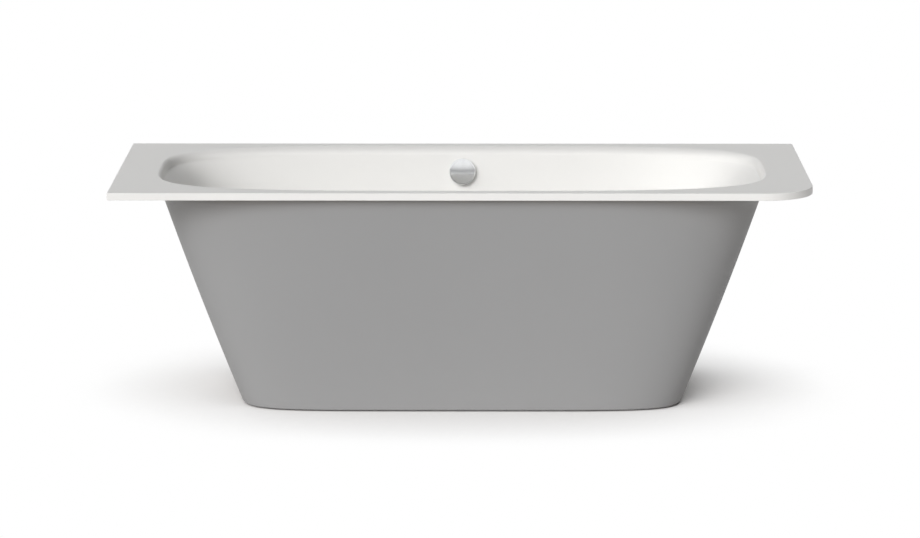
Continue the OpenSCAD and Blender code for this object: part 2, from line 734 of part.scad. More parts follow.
module cable_clips() {
    color("#f0f0ee") for (s = clip_at) at_overflow() translate([0, -s, pipe_z])
        rotate([90, 0, 0]) difference() {
            union() {
                cylinder(r = pipe_r + 2, h = 10);
                translate([cable_x, 0, 0]) cylinder(r = sheath_r + 1.9, h = 10);
                translate([cable_x, -1.5, 0]) cube([-cable_x, 3, 10]);
            }
            translate([0, 0, -past]) cylinder(r = pipe_r + 0.05, h = 12);
            translate([cable_x, 0, -past]) cylinder(r = sheath_r + near, h = 12);
        }
}

// The waste: flange above the seat, body below it, plug on a lifting stem
waste_cup_r = 31;
cup_in_r = waste_cup_r - 3;
throat_r = waste_d / 2 - 2;
throat_in_r = throat_r - 2.5;
neck_r = waste_d / 2 - 0.2;
seat_r = waste_d / 2 + 2;
seat_low_r = neck_r - 1.6;
flange_top = recess_z + thin_gasket_t + 2.5;
seat_low = flange_top - 3.3;
stem_r = 3;
hub_r = 6.5;
hub_h = 10;

module waste_flange() {
    color("#dadcde") difference() {
        union() {
            rotate_extrude($fn = 96) polygon([
                [flange_r, flange_top - 2.5], [flange_r, flange_top - 1],
                [flange_r - 1, flange_top], [seat_r, flange_top], [seat_low_r, seat_low],
                [throat_in_r, seat_low - 2.7], [throat_in_r, throat_z], [throat_r, throat_z],
                [throat_r, flange_top - 8.5], [neck_r, flange_top - 7],
                [neck_r, flange_top - 2.5]]);
            translate([0, 0, throat_z + 2]) cylinder(r = hub_r, h = hub_h);
            for (t = [0:120:240]) rotate(t + 30) translate([hub_r - 2, -1.25, throat_z + 2])
                cube([throat_in_r - hub_r + 3, 2.5, hub_h - 2]);
        }
        translate([0, 0, throat_z]) cylinder(r = stem_r + fit, h = 20);
    }
}
module flange_gasket() {
    color("#1d1e20") translate([0, 0, recess_z]) difference() {
        cylinder(r = flange_r - 1, h = thin_gasket_t);
        translate([0, 0, -past]) cylinder(r = waste_d / 2, h = 3);
    }
}
module waste_gasket() {
    color("#1d1e20") translate([0, 0, waste_top]) difference() {
        cylinder(r = 38, h = gasket_t);
        translate([0, 0, -past]) cylinder(r = waste_d / 2, h = 6);
    }
}

// The plug seals on the flange's cone
seal_low = seat_low + 0.2;
seal_top = seal_low + 2;
seal_gap = 0.35;
function seat_at(z) = seat_low_r + (z - seat_low) * (seat_r - seat_low_r) / (flange_top - seat_low);
module plug_cap() {
    color("#d9dbdd") difference() {
        rotate_extrude($fn = 96) polygon(concat([[0, seal_top],
                [seat_at(seal_top) - 0.9, seal_top], [seat_r + 0.5, flange_top + 0.8],
                [seat_r + 2, flange_top + 1.8], [seat_r + 1.6, flange_top + 2.9]],
            [for (k = [1:6]) let (x = (seat_r + 1.6) * (1 - k / 6))
                [x, flange_top + 2.9 + 3.6 * (1 - pow(x / (seat_r + 1.6), 2))]]));
        translate([0, 0, seal_top - past]) cylinder(r = 2.05, h = 4 + past);
    }
}
module plug_seal() {
    color("#1d1e20") difference() {
        rotate_extrude($fn = 96) polygon([[0, seal_low], [seat_at(seal_low) - seal_gap, seal_low],
            [seat_at(seal_top) - seal_gap, seal_top], [0, seal_top]]);
        translate([0, 0, seal_low - past]) cylinder(r = 5.6, h = 6);
    }
}
// A lifting stem: its tip rests on the lever, its collar holds the seal
tip_r = 1.2;
tip_h = 3;
module plug_stem() {
    color("#c8cacc") union() {
        translate([0, 0, stem_z]) cylinder(r1 = tip_r, r2 = stem_r, h = tip_h);
        translate([0, 0, stem_z + tip_h]) cylinder(r = stem_r, h = seal_low - stem_z - tip_h);
        translate([0, 0, seal_low - 2.5]) cylinder(r = 9, h = 2.5);
        translate([0, 0, seal_low]) cylinder(r = 5.5, h = seal_top - seal_low);
        translate([0, 0, seal_top]) cylinder(r = 2, h = 3.5);
    }
}

// The lift lever is a bell crank: the cable pushes its lower arm towards +X
// and its upper arm lifts the stem
lever_x = -18;
lever_swing = atan(plug_lift / 2 / -lever_x) * 2;
arm_t = 4;
pin_r = 2;
rest_turn = lever_swing / 2;
push_x = lever_x - 14.5 * tan(rest_turn) - arm_t / 2 / cos(rest_turn);
stem_z = lever_z - (-lever_x - tip_r) * tan(rest_turn) + arm_t / 2 / cos(rest_turn) + near;
module lift_lever() {
    color("#9fa3a7") translate([lever_x, 0, lever_z]) rotate([0, rest_turn, 0])
        rotate([90, 0, 0]) translate([0, 0, -4]) difference() {
            linear_extrude(8) union() {
                circle(r = 5);
                translate([0, -arm_t / 2]) square([-lever_x + 3, arm_t]);
                translate([-arm_t / 2, -17]) square([arm_t, 17]);
            }
            translate([0, 0, -past]) cylinder(r = pin_r + fit, h = 8 + 2 * past);
        }
}
pin_l = 54;
module lever_pin() {
    color("silver") translate([lever_x, pin_l / 2, lever_z]) rotate([90, 0, 0])
        cylinder(r = pin_r, h = pin_l);
}

spigot_r = 23.9;
spigot_h = 18;
inlet_end = 44;
spigot_z = cup_z - spigot_h;
module waste_body() {
    color("#e6e6e2") difference() {
        union() {
            translate([0, 0, waste_top - 4]) cylinder(r = 38, h = 4);
            translate([0, 0, cup_z]) cylinder(r = waste_cup_r, h = cup_h - 2);
            translate([0, 0, spigot_z]) cylinder(r = spigot_r, h = spigot_h + 1);
            translate([0, 0, run_z]) rotate([-90, 0, 0])
                cylinder(r = pipe_r, h = inlet_end, $fn = 48);
            translate([0, 0, run_z]) rotate([-90, 0, 0])
                cylinder(r = nozzle_r, h = inlet_end + 12, $fn = 48);
            translate([lever_x, 29, lever_z]) rotate([90, 0, 0]) cylinder(r = 5, h = 58);
            translate([gland_x - 8, 0, gland_z]) rotate([0, 90, 0]) cylinder(r = 6, h = 20);
        }
        translate([0, 0, throat_z]) cylinder(r = throat_r + 0.05, h = 30);
        translate([0, 0, cup_z + 3]) cylinder(r = cup_in_r, h = throat_z - cup_z - 3 + 0.01);
        translate([0, 0, spigot_z - past]) cylinder(r = spigot_r - 3.9, h = 30);
        translate([0, cup_in_r - 6, run_z]) rotate([-90, 0, 0])
            cylinder(r = nozzle_r - 2, h = 60, $fn = 48);
        translate([lever_x, pin_l / 2 + 0.1, lever_z]) rotate([90, 0, 0])
            cylinder(r = pin_r + 0.02, h = pin_l + 0.2);
        translate([gland_x - past, 0, gland_z]) rotate([0, 90, 0])
            cylinder(r = core_r + 0.15, h = 20, $fn = 24);
        translate([gland_x - 9, 0, gland_z]) rotate([0, 90, 0])
            cylinder(r = sheath_r + 0.1, h = 9);
    }
}

// The trap: down, round the bend, up, and out to the back at the crown
trap_r = trap_d / 2;
trap_in_r = trap_r - 3;
trap_z = spigot_z - trap_leg;
crown_z = spigot_z - 2;
crown_bend = 25;
crown_x = 2 * trap_bend;
trap_top = spigot_z - near;
eye_y = -trap_r - 15;
trap_end = 34;
module trap_run(r, extra) {
    translate([0, 0, trap_z]) cylinder(r = r, h = trap_top - trap_z + extra, $fn = 48);
    translate([trap_bend, 0, trap_z]) rotate([90, 0, 0]) rotate(180)
        rotate_extrude(angle = 180) translate([trap_bend, 0]) circle(r = r, $fn = 48);
    translate([crown_x, 0, trap_z])
        cylinder(r = r, h = crown_z - trap_z - crown_bend, $fn = 48);
    translate([crown_x, crown_bend, crown_z - crown_bend]) rotate([90, 0, 90]) rotate(90)
        rotate_extrude(angle = 90) translate([crown_bend, 0]) circle(r = r, $fn = 48);
    translate([crown_x, crown_bend, crown_z]) rotate([-90, 0, 0])
        cylinder(r = r, h = trap_end - crown_bend + extra, $fn = 48);
    translate([crown_x, eye_y - extra, crown_z]) rotate([-90, 0, 0])
        cylinder(r = r - (extra > 0 ? 0 : 1), h = crown_bend - eye_y + extra, $fn = 48);
}
module trap_body() {
    color("#e6e6e2") difference() {
        union() {
            trap_run(trap_r, 0);
            translate([0, 0, trap_top - 3]) cylinder(r = spigot_r - 0.5, h = 3);
            translate([crown_x, trap_end - 3, crown_z]) rotate([-90, 0, 0])
                cylinder(r = trap_r + 2, h = 3);
        }
        trap_run(trap_in_r, past);
    }
}
trap_nut_r = 31;
module trap_nut() {
    color("#dcdcd8") translate([0, 0, trap_top - 5.3]) difference() {
        union_nut(trap_nut_r, trap_r + 0.2, 19);
        translate([0, 0, 2]) cylinder(r = spigot_r + fit, h = 20);
    }
}
module trap_cap() {
    color("#dcdcd8") translate([crown_x, eye_y - 4, crown_z]) rotate([-90, 0, 0]) difference() {
        union_nut(trap_r + 3, 2, 14);
        translate([0, 0, 3.7]) cylinder(r = trap_r - 1 + fit, h = 20);
    }
}
outlet_r = outlet_d / 2;
outlet_nut_r = trap_r + 7;
module outlet_nut() {
    color("#dcdcd8") translate([crown_x, trap_end - 6, crown_z]) rotate([-90, 0, 0])
        difference() {
            union_nut(outlet_nut_r, trap_r + 0.2, 26);
            translate([0, 0, 2.5]) cylinder(r = trap_r + 2 + fit, h = 15);
            translate([0, 0, 17.5]) cylinder(r = outlet_r + fit, h = 15);
        }
}
outlet_wall = 1.8;
outlet_chamfer = 1.5;
outlet_l = half_w - outlet_gap - trap_end - near;
outlet_wide = outlet_l - outlet_chamfer - outlet_end_l;
outlet_narrow = outlet_wide - 12;

// The outlet pipe widens to the spigot that goes into the drain's socket
module outlet_pipe() {
    wide_r = outlet_end_d / 2;
    color("#8b8f93") translate([crown_x, trap_end + near, crown_z]) rotate([-90, 0, 0])
        rotate_extrude($fn = 96) polygon([
            [outlet_r, 0], [outlet_r, outlet_narrow], [wide_r, outlet_wide],
            [wide_r, outlet_l - outlet_chamfer], [wide_r - outlet_chamfer, outlet_l],
            [wide_r - outlet_wall, outlet_l], [wide_r - outlet_wall, outlet_wide],
            [outlet_r - outlet_wall, outlet_narrow], [outlet_r - outlet_wall, 0]]);
}

bath_shell();
front_batten();
back_batten();
left_batten();
right_batten();
base_board();
casing();
casing_screws();
left_leg_bar();
right_leg_bar();
leg_screws();
foot_nuts();
front_left_pad();
front_right_pad();
back_left_pad();
back_right_pad();
front_left_spindle();
front_right_spindle();
back_left_spindle();
back_right_spindle();
overflow_knob();
knob_set_screw();
overflow_shaft();
overflow_flange();
overflow_gasket();
overflow_body();
overflow_screws();
overflow_pipe();
overflow_elbow();
link_pipe();
overflow_nuts();
cable_sheath();
cable_core();
cable_clips();
waste_flange();
flange_gasket();
waste_gasket();
waste_body();
plug_cap();
plug_seal();
plug_stem();
lift_lever();
lever_pin();
trap_nut();
trap_body();
trap_cap();
outlet_nut();
outlet_pipe();
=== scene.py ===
import json
import math

import bmesh
import bpy
from mathutils import Matrix, Vector


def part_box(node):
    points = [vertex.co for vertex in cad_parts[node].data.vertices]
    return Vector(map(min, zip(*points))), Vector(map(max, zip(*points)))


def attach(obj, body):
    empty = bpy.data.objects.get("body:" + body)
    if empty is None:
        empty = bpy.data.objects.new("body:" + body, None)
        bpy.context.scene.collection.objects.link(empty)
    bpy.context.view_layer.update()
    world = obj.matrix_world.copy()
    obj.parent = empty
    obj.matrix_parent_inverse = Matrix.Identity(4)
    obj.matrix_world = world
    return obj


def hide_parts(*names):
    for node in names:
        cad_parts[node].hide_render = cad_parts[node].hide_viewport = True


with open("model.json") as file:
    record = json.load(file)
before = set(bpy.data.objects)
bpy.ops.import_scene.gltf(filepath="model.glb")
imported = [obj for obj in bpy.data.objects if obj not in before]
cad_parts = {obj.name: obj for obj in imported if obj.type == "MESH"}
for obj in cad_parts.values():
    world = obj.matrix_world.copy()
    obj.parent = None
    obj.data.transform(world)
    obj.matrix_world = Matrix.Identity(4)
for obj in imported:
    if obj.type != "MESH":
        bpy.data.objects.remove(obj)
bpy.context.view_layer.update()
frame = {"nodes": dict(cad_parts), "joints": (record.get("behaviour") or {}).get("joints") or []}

bl_info = {
    "name": "Built-in bath",
    "version": (1, 0, 0),
    "blender": (4, 5, 0),
    "location": "3D View > Sidebar > Bath",
    "description": "Moulded bath with casing, feet, overflow and pop-up waste, on a studio floor",
    "category": "Add Mesh",
}

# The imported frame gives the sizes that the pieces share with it
_, SHELL_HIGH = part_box("bath_shell")
HALF_L = SHELL_HIGH.x
HALF_W = SHELL_HIGH.y
TOP = SHELL_HIGH.z
JOINTS = {joint["name"]: joint for joint in frame["joints"]}
KNOB_AT = Vector(JOINTS["knob_turn"]["pos_m"])
KNOB_AXIS = Vector(JOINTS["knob_turn"]["axis"])
MM = 0.001
TINY = 1e-9

# Exponents of the ovals at the deck, at the basin floor and on the casing, and of a circle
DECK_OVAL = 3.8
FLOOR_OVAL = 4.4
CASE_TOP_OVAL = 4.6
CASE_FOOT_OVAL = 6.2
CIRCLE = 2

# Each lamp with its strength's setting, and its degrees to the right of the front and up
LAMPS = (
    ("key_light", "key", -18, 28),
    ("side_light", "side", -55, 34),
    ("back_light", "back", 180, 15),
)
# Degrees that a lamp seems to be across, which softens its shadows
LAMP_SPREAD = 40

# Painted shade on the floor round the bath's foot: share of open sky over the floor, from ambient
# occlusion, and how white the floor is there
PAINTED_FLOOR_SHADE = ((0.3, 0.0), (0.82, 1.0))
# Height of a mirrored ray, and how white the sky is there: a grey band above the horizon
SKY_BAND = ((0.13, 0.6), (0.2, 0.0), (0.3, 0.7), (0.42, 1.0))


def length(name, about, value):
    """A length in metres."""
    return bpy.props.FloatProperty(
        name=name, description=about, default=value, min=0, unit="LENGTH")


def angle(name, about, degrees):
    """An angle, given in degrees."""
    return bpy.props.FloatProperty(
        name=name, description=about, default=math.radians(degrees), unit="ROTATION")


def colour(name, about, red, green, blue):
    """A linear colour."""
    return bpy.props.FloatVectorProperty(
        name=name, description=about, default=(red, green, blue), size=3, min=0, max=1,
        subtype="COLOR")


def amount(name, about, value):
    """A strength."""
    return bpy.props.FloatProperty(name=name, description=about, default=value, min=0)


class ShellForm(bpy.types.PropertyGroup):
    """Sizes of the moulded shell."""
    deck_end: length("Deck end", "Width of the deck at each end of the basin", 0.104)
    deck_side: length("Deck side", "Width of the deck beside the basin", 0.032)
    corner_r: length("Corner radius", "Radius of the deck's free corner", 0.13)
    lip_h: length("Lip height", "Height of the lip round the deck", 0.019)
    wall_t: length("Wall", "Wall thickness of the shell", 0.005)
    basin_d: length("Basin depth", "Depth of the basin at the waste", 0.415)
    fall: length("Fall", "Fall of the basin floor towards the waste", 0.005)
    roll_h: length("Roll height", "Depth of the rolled edge, down to the crease", 0.024)
    roll_end: length("Roll end", "How far the rolled edge comes in at the ends", 0.012)
    roll_side: length("Roll side", "How far the rolled edge comes in at the long sides", 0.04)
    wall_lean: angle("Wall lean", "Lean of the long walls from upright", 10)
    end_foot: length("End foot", "Half length where the bottom rounding starts", 0.596)
    back_lean: angle("Back lean", "Lean of the backrests where the rounding starts", 25)
    fillet_h: length("Bottom rounding", "Height of the bottom rounding", 0.066)
    seat_d: length("Seat depth", "Depth of the seat moulded round the waste", 0.004)
    seat_r: length("Seat radius", "Radius of that seat", 0.045)
    waste_r: length("Waste hole", "Radius of the waste hole", 0.026)
    overflow_r: length("Overflow hole", "Radius of the overflow hole", 0.027)


class CasingForm(bpy.types.PropertyGroup):
    """Sizes of the casing."""
    foot_l: length("Foot half length", "Half length at the floor", 0.576)
    foot_w: length("Foot half width", "Half width at the floor", 0.304)
    neck_l: length("Neck half length", "Half length under the neck", 0.777)
    top_w: length("Top half width", "Half width under the deck", 0.378)
    wall_t: length("Wall", "Wall thickness of the casing", 0.004)
    gap: length("Floor gap", "Gap between casing and floor", 0.003)
    edge_r: length("Edge radius", "Radius of the bottom edge", 0.005)
    turn_in: length("Turned edge", "Width of the turned-in bottom edge", 0.014)
    swell: length("Swell", "How far the ends swell past a straight line", 0.0035)
    cutout_w: length("Cut-out width", "Width of the pipe cut-out in the back", 0.22)
    cutout_h: length("Cut-out height", "Height of the pipe cut-out", 0.15)
    cutout_r: length("Cut-out radius", "Radius of the cut-out's corners", 0.05)
    cutout_x: length("Cut-out place", "Middle of the cut-out along the wall", 0.03)


class FittingForm(bpy.types.PropertyGroup):
    """Sizes of the fittings that are turned, threaded or bent."""
    knob_r: length("Knob radius", "Radius of the overflow knob", 0.03575)
    knob_gap: length("Knob gap", "Gap behind the knob", 0.006)
    knob_h: length("Knob depth", "Depth of the knob", 0.016)
    knob_edge: length("Knob edge", "Radius of the knob's edge", 0.005)
    knob_crown: length("Knob crown", "Rise of the knob's face", 0.003)
    spindle_r: length("Spindle radius", "Outer radius of the foot spindles", 0.006)
    thread_pitch: length("Pitch", "Pitch of the spindle thread", 0.00175)
    thread_h: length("Thread height", "Height of the spindle thread", 0.0009)
    sheath_r: length("Sheath radius", "Outer radius of the cable's sheath", 0.00275)


class Finishes(bpy.types.PropertyGroup):
    """Colours of the finishes."""
    acrylic: colour("Acrylic", "The moulded shell", 0.925, 0.917, 0.896)
    backing: colour("Backing", "Glass-fibre backing under the shell", 0.66, 0.62, 0.5)
    casing: colour("Casing", "The matt casing", 0.352, 0.352, 0.354)
    chrome: colour("Chrome", "Knob, plug and flanges", 0.84, 0.85, 0.86)
    zinc: colour("Zinc", "Screws, nuts, spindles and levers", 0.62, 0.62, 0.6)
    galvanised: colour("Galvanised", "Leg bars", 0.56, 0.58, 0.6)
    softwood: colour("Softwood", "Battens", 0.62, 0.45, 0.27)
    board: colour("Board", "The board under the basin", 0.5, 0.36, 0.21)
    pipe: colour("Pipe", "Overflow pipe, waste body and trap", 0.8, 0.8, 0.77)
    fitting: colour("Fitting", "Union nuts, elbow and clips", 0.7, 0.7, 0.67)
    drain: colour("Drain", "Outlet pipe", 0.27, 0.28, 0.29)
    rubber: colour("Rubber", "Seals", 0.022, 0.022, 0.024)
    black: colour("Black plastic", "Feet and cable sheath", 0.03, 0.031, 0.034)


class StageLook(bpy.types.PropertyGroup):
    """Light and floor."""
    key: amount("Key light", "Strength of the soft light from the front", 2.15)
    side: amount("Side light", "Strength of the soft light from the left", 0.74)
    back: amount("Back light", "Strength of the soft light from behind", 1.1)
    sky: amount("Sky", "Strength of the even light from all round", 0.0)
    mirrored: amount("Mirrored sky", "Strength of the sky near the horizon in reflections", 0.3)
    floor: colour("Floor", "Colour of the floor", 0.94, 0.92, 0.905)
    # Reach of the floor's painted shade round the bath's foot, from ambient occlusion
    painted_shade_reach: length("Shade reach", "How far the soft shade round the bath's foot reaches", 0.57)


class Wire:
    """The output of a shader node, so that shader maths reads as plain expressions."""

    def __init__(self, net, socket):
        self.net = net
        self.socket = socket

    def math(self, operation, first, second):
        return self.net.node("ShaderNodeMath", {"operation": operation}, {0: first, 1: second})

    def __add__(self, other):
        return self.math("ADD", self, other)

    __radd__ = __add__

    def __mul__(self, other):
        return self.math("MULTIPLY", self, other)

    __rmul__ = __mul__

    def __sub__(self, other):
        return self.math("SUBTRACT", self, other)

    def __rsub__(self, other):
        return self.math("SUBTRACT", other, self)


class Net:
    """The node tree of one material or of the world, emptied first."""

    def __init__(self, block):
        block.use_nodes = True
        self.tree = block.node_tree
        self.tree.nodes.clear()

    def node(self, kind, settings=None, inputs=None, output=0):
        """Adds a node, sets it up, fills its sockets and returns the wanted output."""
        node = self.tree.nodes.new(kind)
        for name, value in (settings or {}).items():
            if name == "stops":
                self.set_stops(node.color_ramp.elements, value)
            else:
                setattr(node, name, value)
        for name, value in (inputs or {}).items():
            if isinstance(value, Wire):
                self.tree.links.new(value.socket, node.inputs[name])
            else:
                node.inputs[name].default_value = value
        return Wire(self, node.outputs[output]) if node.outputs else None

    @staticmethod
    def set_stops(elements, stops):
        """Gives a ramp its greys, as pairs of place and grey."""
        while len(elements) < len(stops):
            elements.new(1)
        for element, (place, grey) in zip(elements, stops):
            element.position = place
            element.color = (grey, grey, grey, 1)

    def place(self, stretch=(1, 1, 1)):
        """Object coordinates in metres, stretched."""
        coords = self.node("ShaderNodeTexCoord", output="Object")
        return self.node("ShaderNodeMapping", None, {"Vector": coords, "Scale": stretch})

    def noise(self, scale, detail, stretch=(1, 1, 1), roughness=0.5):
        return self.node("ShaderNodeTexNoise", None, {
            "Vector": self.place(stretch), "Scale": scale, "Detail": detail,
            "Roughness": roughness})

    def cells(self, scale, stretch=(1, 1, 1), output="Color", feature="F1"):
        return self.node("ShaderNodeTexVoronoi", {"feature": feature},
                         {"Vector": self.place(stretch), "Scale": scale}, output)

    def steps(self, value, *stops):
        """The value sent through a ramp of greys."""
        return self.node("ShaderNodeValToRGB", {"stops": stops}, {"Fac": value})

    def blend(self, factor, first, second):
        """Mixes two colours."""
        return self.node("ShaderNodeMix", {"data_type": "RGBA"},
                         {0: factor, 6: first, 7: second}, 2)

    def mix(self, factor, first, second):
        """Mixes two shaders."""
        return self.node("ShaderNodeMixShader", None, {0: factor, 1: first, 2: second})

    def bump(self, height, depth):
        return self.node("ShaderNodeBump", None, {"Height": height, "Distance": depth})


def shade(tint, factor):
    """A colour made lighter or darker, with alpha."""
    return tuple(min(1.0, part * factor) for part in tint) + (1.0,)


def material(name, build):
    """The material of that name, made once. Its shader's sockets come from build(net)."""
    found = bpy.data.materials.get(name)
    if found:
        return found
    made = bpy.data.materials.new(name)
    net = Net(made)
    shader = net.node("ShaderNodeBsdfPrincipled", None, build(net))
    net.node("ShaderNodeOutputMaterial", None, {"Surface": shader})
    return made


def acrylic(tint):
    def build(net):
        cloud = net.noise(scale=3.0, detail=3)
        peel = net.noise(scale=420.0, detail=1)
        wave = net.noise(scale=9.0, detail=1)
        return {
            "Base Color": net.blend(cloud, shade(tint, 0.985), shade(tint, 1.01)),
            "Roughness": net.noise(scale=70.0, detail=4) * 0.06 + 0.27,
            "IOR": 1.49,
            "Normal": net.bump(peel * 0.02 + wave, depth=0.0006),
        }
    return material("white_acrylic", build)


def glass_fibre(tint):
    def build(net):
        strands = (net.noise(scale=260.0, detail=3, stretch=(1, 0.12, 0.3)) * 0.5
                   + net.noise(scale=240.0, detail=3, stretch=(0.12, 1, 0.3)) * 0.5)
        resin = net.noise(scale=14.0, detail=4)
        marks = net.steps(strands, (0.42, 0.0), (0.58, 1.0))
        return {
            "Base Color": net.blend(marks * 0.5 + resin * 0.5,
                                    shade(tint, 0.78), shade(tint, 1.12)),
            "Roughness": 0.62 - resin * 0.25,
            "Normal": net.bump(strands + resin, depth=0.0022),
        }
    return material("glass_fibre_backing", build)


def matt_casing(tint):
    def build(net):
        cloud = net.noise(scale=2.2, detail=3)
        grain = net.noise(scale=1300.0, detail=2, roughness=0.7)
        rubbed = net.noise(scale=38.0, detail=6, stretch=(0.35, 0.35, 1))
        scuff = net.steps(rubbed, (0.62, 0.0), (0.8, 1.0))
        return {
            "Base Color": net.blend(cloud * 0.7 + grain * 0.3,
                                    shade(tint, 0.965), shade(tint, 1.035)),
            "Roughness": 0.56 - scuff * 0.08 + grain * 0.05,
            "Specular IOR Level": 0.35,
            "Normal": net.bump(grain, depth=0.00012),
        }
    return material("matt_grey_casing", build)


def chrome(tint):
    def build(net):
        smudge = net.steps(net.noise(scale=60.0, detail=4), (0.45, 0.0), (0.75, 1.0))
        drops = net.steps(net.cells(scale=520.0, output="Distance"), (0.1, 1.0), (0.16, 0.0))
        return {
            "Base Color": net.blend(smudge, shade(tint, 1.0), shade(tint, 0.96)),
            "Metallic": 1.0,
            "Roughness": smudge * 0.05 + drops * 0.03 + 0.13,
            "Normal": net.bump(net.noise(scale=110.0, detail=1), depth=0.00002),
        }
    return material("polished_chrome", build)


def zinc(tint):
    def build(net):
        patch = net.noise(scale=90.0, detail=4)
        scratch = net.noise(scale=700.0, detail=2, stretch=(1, 1, 0.08))
        return {
            "Base Color": net.blend(patch, shade(tint, 0.82), shade(tint, 1.08)),
            "Metallic": 1.0,
            "Roughness": patch * 0.2 + scratch * 0.12 + 0.2,
            "Normal": net.bump(scratch, depth=0.00003),
        }
    return material("zinc_plating", build)


def galvanised(tint):
    def build(net):
        flake = net.cells(scale=85.0)
        edge = net.steps(net.cells(scale=85.0, output="Distance", feature="DISTANCE_TO_EDGE"),
                         (0.0, 1.0), (0.06, 0.0))
        dull = net.noise(scale=22.0, detail=5)
        return {
            "Base Color": net.blend(flake * 0.75 + dull * 0.25,
                                    shade(tint, 0.74), shade(tint, 1.18)),
            "Metallic": 1.0,
            "Roughness": flake * 0.22 + dull * 0.15 + 0.24,
            "Normal": net.bump(1 - edge * 0.6, depth=0.00005),
        }
    return material("galvanised_sheet", build)


def softwood(name, tint, stretch):
    def build(net):
        rings = net.noise(scale=42.0, detail=4, stretch=stretch)
        fibre = net.noise(scale=520.0, detail=3, stretch=stretch)
        late = net.steps(rings, (0.4, 0.0), (0.52, 1.0), (0.6, 0.1))
        return {
            "Base Color": net.blend(late * 0.6 + fibre * 0.4, shade(tint, 1.12), shade(tint, 0.62)),
            "Roughness": fibre * 0.15 + 0.62,
            "Normal": net.bump(fibre * 0.6 + late * 0.4, depth=0.0004),
        }
    return material(name, build)


def chipboard(tint):
    def build(net):
        chips = net.cells(scale=210.0, stretch=(1, 1, 2.4))
        fine = net.cells(scale=520.0, stretch=(1.8, 0.8, 2))
        dust = net.noise(scale=30.0, detail=4)
        return {
            "Base Color": net.blend(chips * 0.55 + fine * 0.25 + dust * 0.2,
                                    shade(tint, 0.55), shade(tint, 1.3)),
            "Roughness": fine * 0.15 + 0.7,
            "Normal": net.bump(chips * 0.5 + fine * 0.5, depth=0.0003),
        }
    return material("chipboard", build)


def rubber(tint):
    def build(net):
        bloom = net.noise(scale=45.0, detail=4)
        return {
            "Base Color": net.blend(bloom, shade(tint, 0.8), shade(tint, 1.8)),
            "Roughness": bloom * 0.2 + 0.6,
            "Normal": net.bump(net.noise(scale=900.0, detail=2), depth=0.00005),
        }
    return material("black_rubber", build)


def moulded(name, tint, roughness, grain=0.00004):
    """Injection-moulded plastic, with faint flow marks and a fine skin."""
    def build(net):
        flow = net.noise(scale=26.0, detail=5, stretch=(1, 1, 0.3))
        skin = net.noise(scale=850.0, detail=2)
        return {
            "Base Color": net.blend(flow, shade(tint, 0.9), shade(tint, 1.05)),
            "Roughness": flow * 0.1 + skin * 0.06 + roughness,
            "Normal": net.bump(skin + flow, depth=grain),
        }
    return material(name, build)


def dress(node, finish):
    """Gives a CAD node its finish."""
    for place in frame["nodes"][node].material_slots:
        place.material = finish


def spaced(first, last, steps):
    """Evenly spaced numbers, both ends included."""
    return [first + (last - first) * k / steps for k in range(steps + 1)]


def bearings(columns):
    """Column directions, spaced for the ovals, with one through each corner of the deck."""
    found = []
    for i in range(columns):
        quarter, part = divmod(4 * i / columns, 1)
        even = quarter % 2 == 0
        part = part if even else 1 - part
        turn = math.pi / 2
        if part < 1:
            turn = math.atan(HALF_W / HALF_L * math.tan(part * math.pi / 2) ** (2 / DECK_OVAL))
        found.append(quarter * math.pi / 2 + (turn if even else math.pi / 2 - turn))
    return found


COLUMNS = bearings(columns=352)


def oval(ring):
    """Points of an oval ring, given as height, half length, half width and exponent."""
    z, a, b, n = ring
    points = []
    for turn in COLUMNS:
        c, s = math.cos(turn), math.sin(turn)
        r = (abs(c / a) ** n + abs(s / b) ** n) ** (-1 / n)
        points.append((r * c, r * s, z))
    return points


def deck(z, inset, corner_r):
    """Points of the deck's outline, whose front right corner is round."""
    hx, hy, r = HALF_L - inset, HALF_W - inset, corner_r - inset
    px, py = hx - r, hy - r
    points = []
    for turn in COLUMNS:
        c, s = math.cos(turn), math.sin(turn)
        reach = min(hx / max(abs(c), TINY), hy / max(abs(s), TINY))
        if c > 0 > s and reach * c > px and -reach * s > py:
            m = px * c - py * s
            reach = m + math.sqrt(m * m - px * px - py * py + r * r)
        points.append((reach * c, reach * s, z))
    return points


def softened(rings, at, before, after):
    """Rounds the corner at one ring of a profile, from `before` rings away to `after`."""
    steps = 6
    a, c, b = rings[at - before], rings[at], rings[at + after]
    curve = [tuple((1 - t) ** 2 * p + 2 * t * (1 - t) * q + t * t * r for p, q, r in zip(a, c, b))
             for t in spaced(0, 1, steps)]
    return rings[:at - before] + curve + rings[at + after + 1:]


def placed(name, data):
    """An object in the scene that shows a mesh, a lamp or a camera."""
    made = bpy.data.objects.new(name, data)
    bpy.context.scene.collection.objects.link(made)
    return made


def solid(name, points, faces, weld=0.0):
    """A piece with its faces turned outward; points nearer than weld become one."""
    mesh = bpy.data.meshes.new(name)
    mesh.from_pydata(points, [], faces)
    work = bmesh.new()
    work.from_mesh(mesh)
    if weld:
        bmesh.ops.remove_doubles(work, verts=work.verts, dist=weld)
    bmesh.ops.recalc_face_normals(work, faces=work.faces)
    work.to_mesh(mesh)
    work.free()
    return placed(name, mesh)


def joined(name, parts):
    """One piece made of several, in the order given."""
    work = bmesh.new()
    for part in parts:
        work.from_mesh(part.data)
        bpy.data.objects.remove(part)
    mesh = bpy.data.meshes.new(name)
    work.to_mesh(mesh)
    work.free()
    return placed(name, mesh)


def loft(name, rings):
    """A closed skin through rings of points; strip j lies between ring j and the next."""
    count = len(rings[0])
    faces = []
    for j in range(len(rings)):
        here, there = j * count, (j + 1) % len(rings) * count
        for i in range(count):
            k = (i + 1) % count
            faces.append((here + i, here + k, there + k, there + i))
    return solid(name, [point for ring in rings for point in ring], faces)


def smooth(piece, degrees=30):
    """Shades the piece smooth, apart from edges that bend more than that."""
    piece.data.shade_smooth()
    piece.data.set_sharp_from_angle(angle=math.radians(degrees))


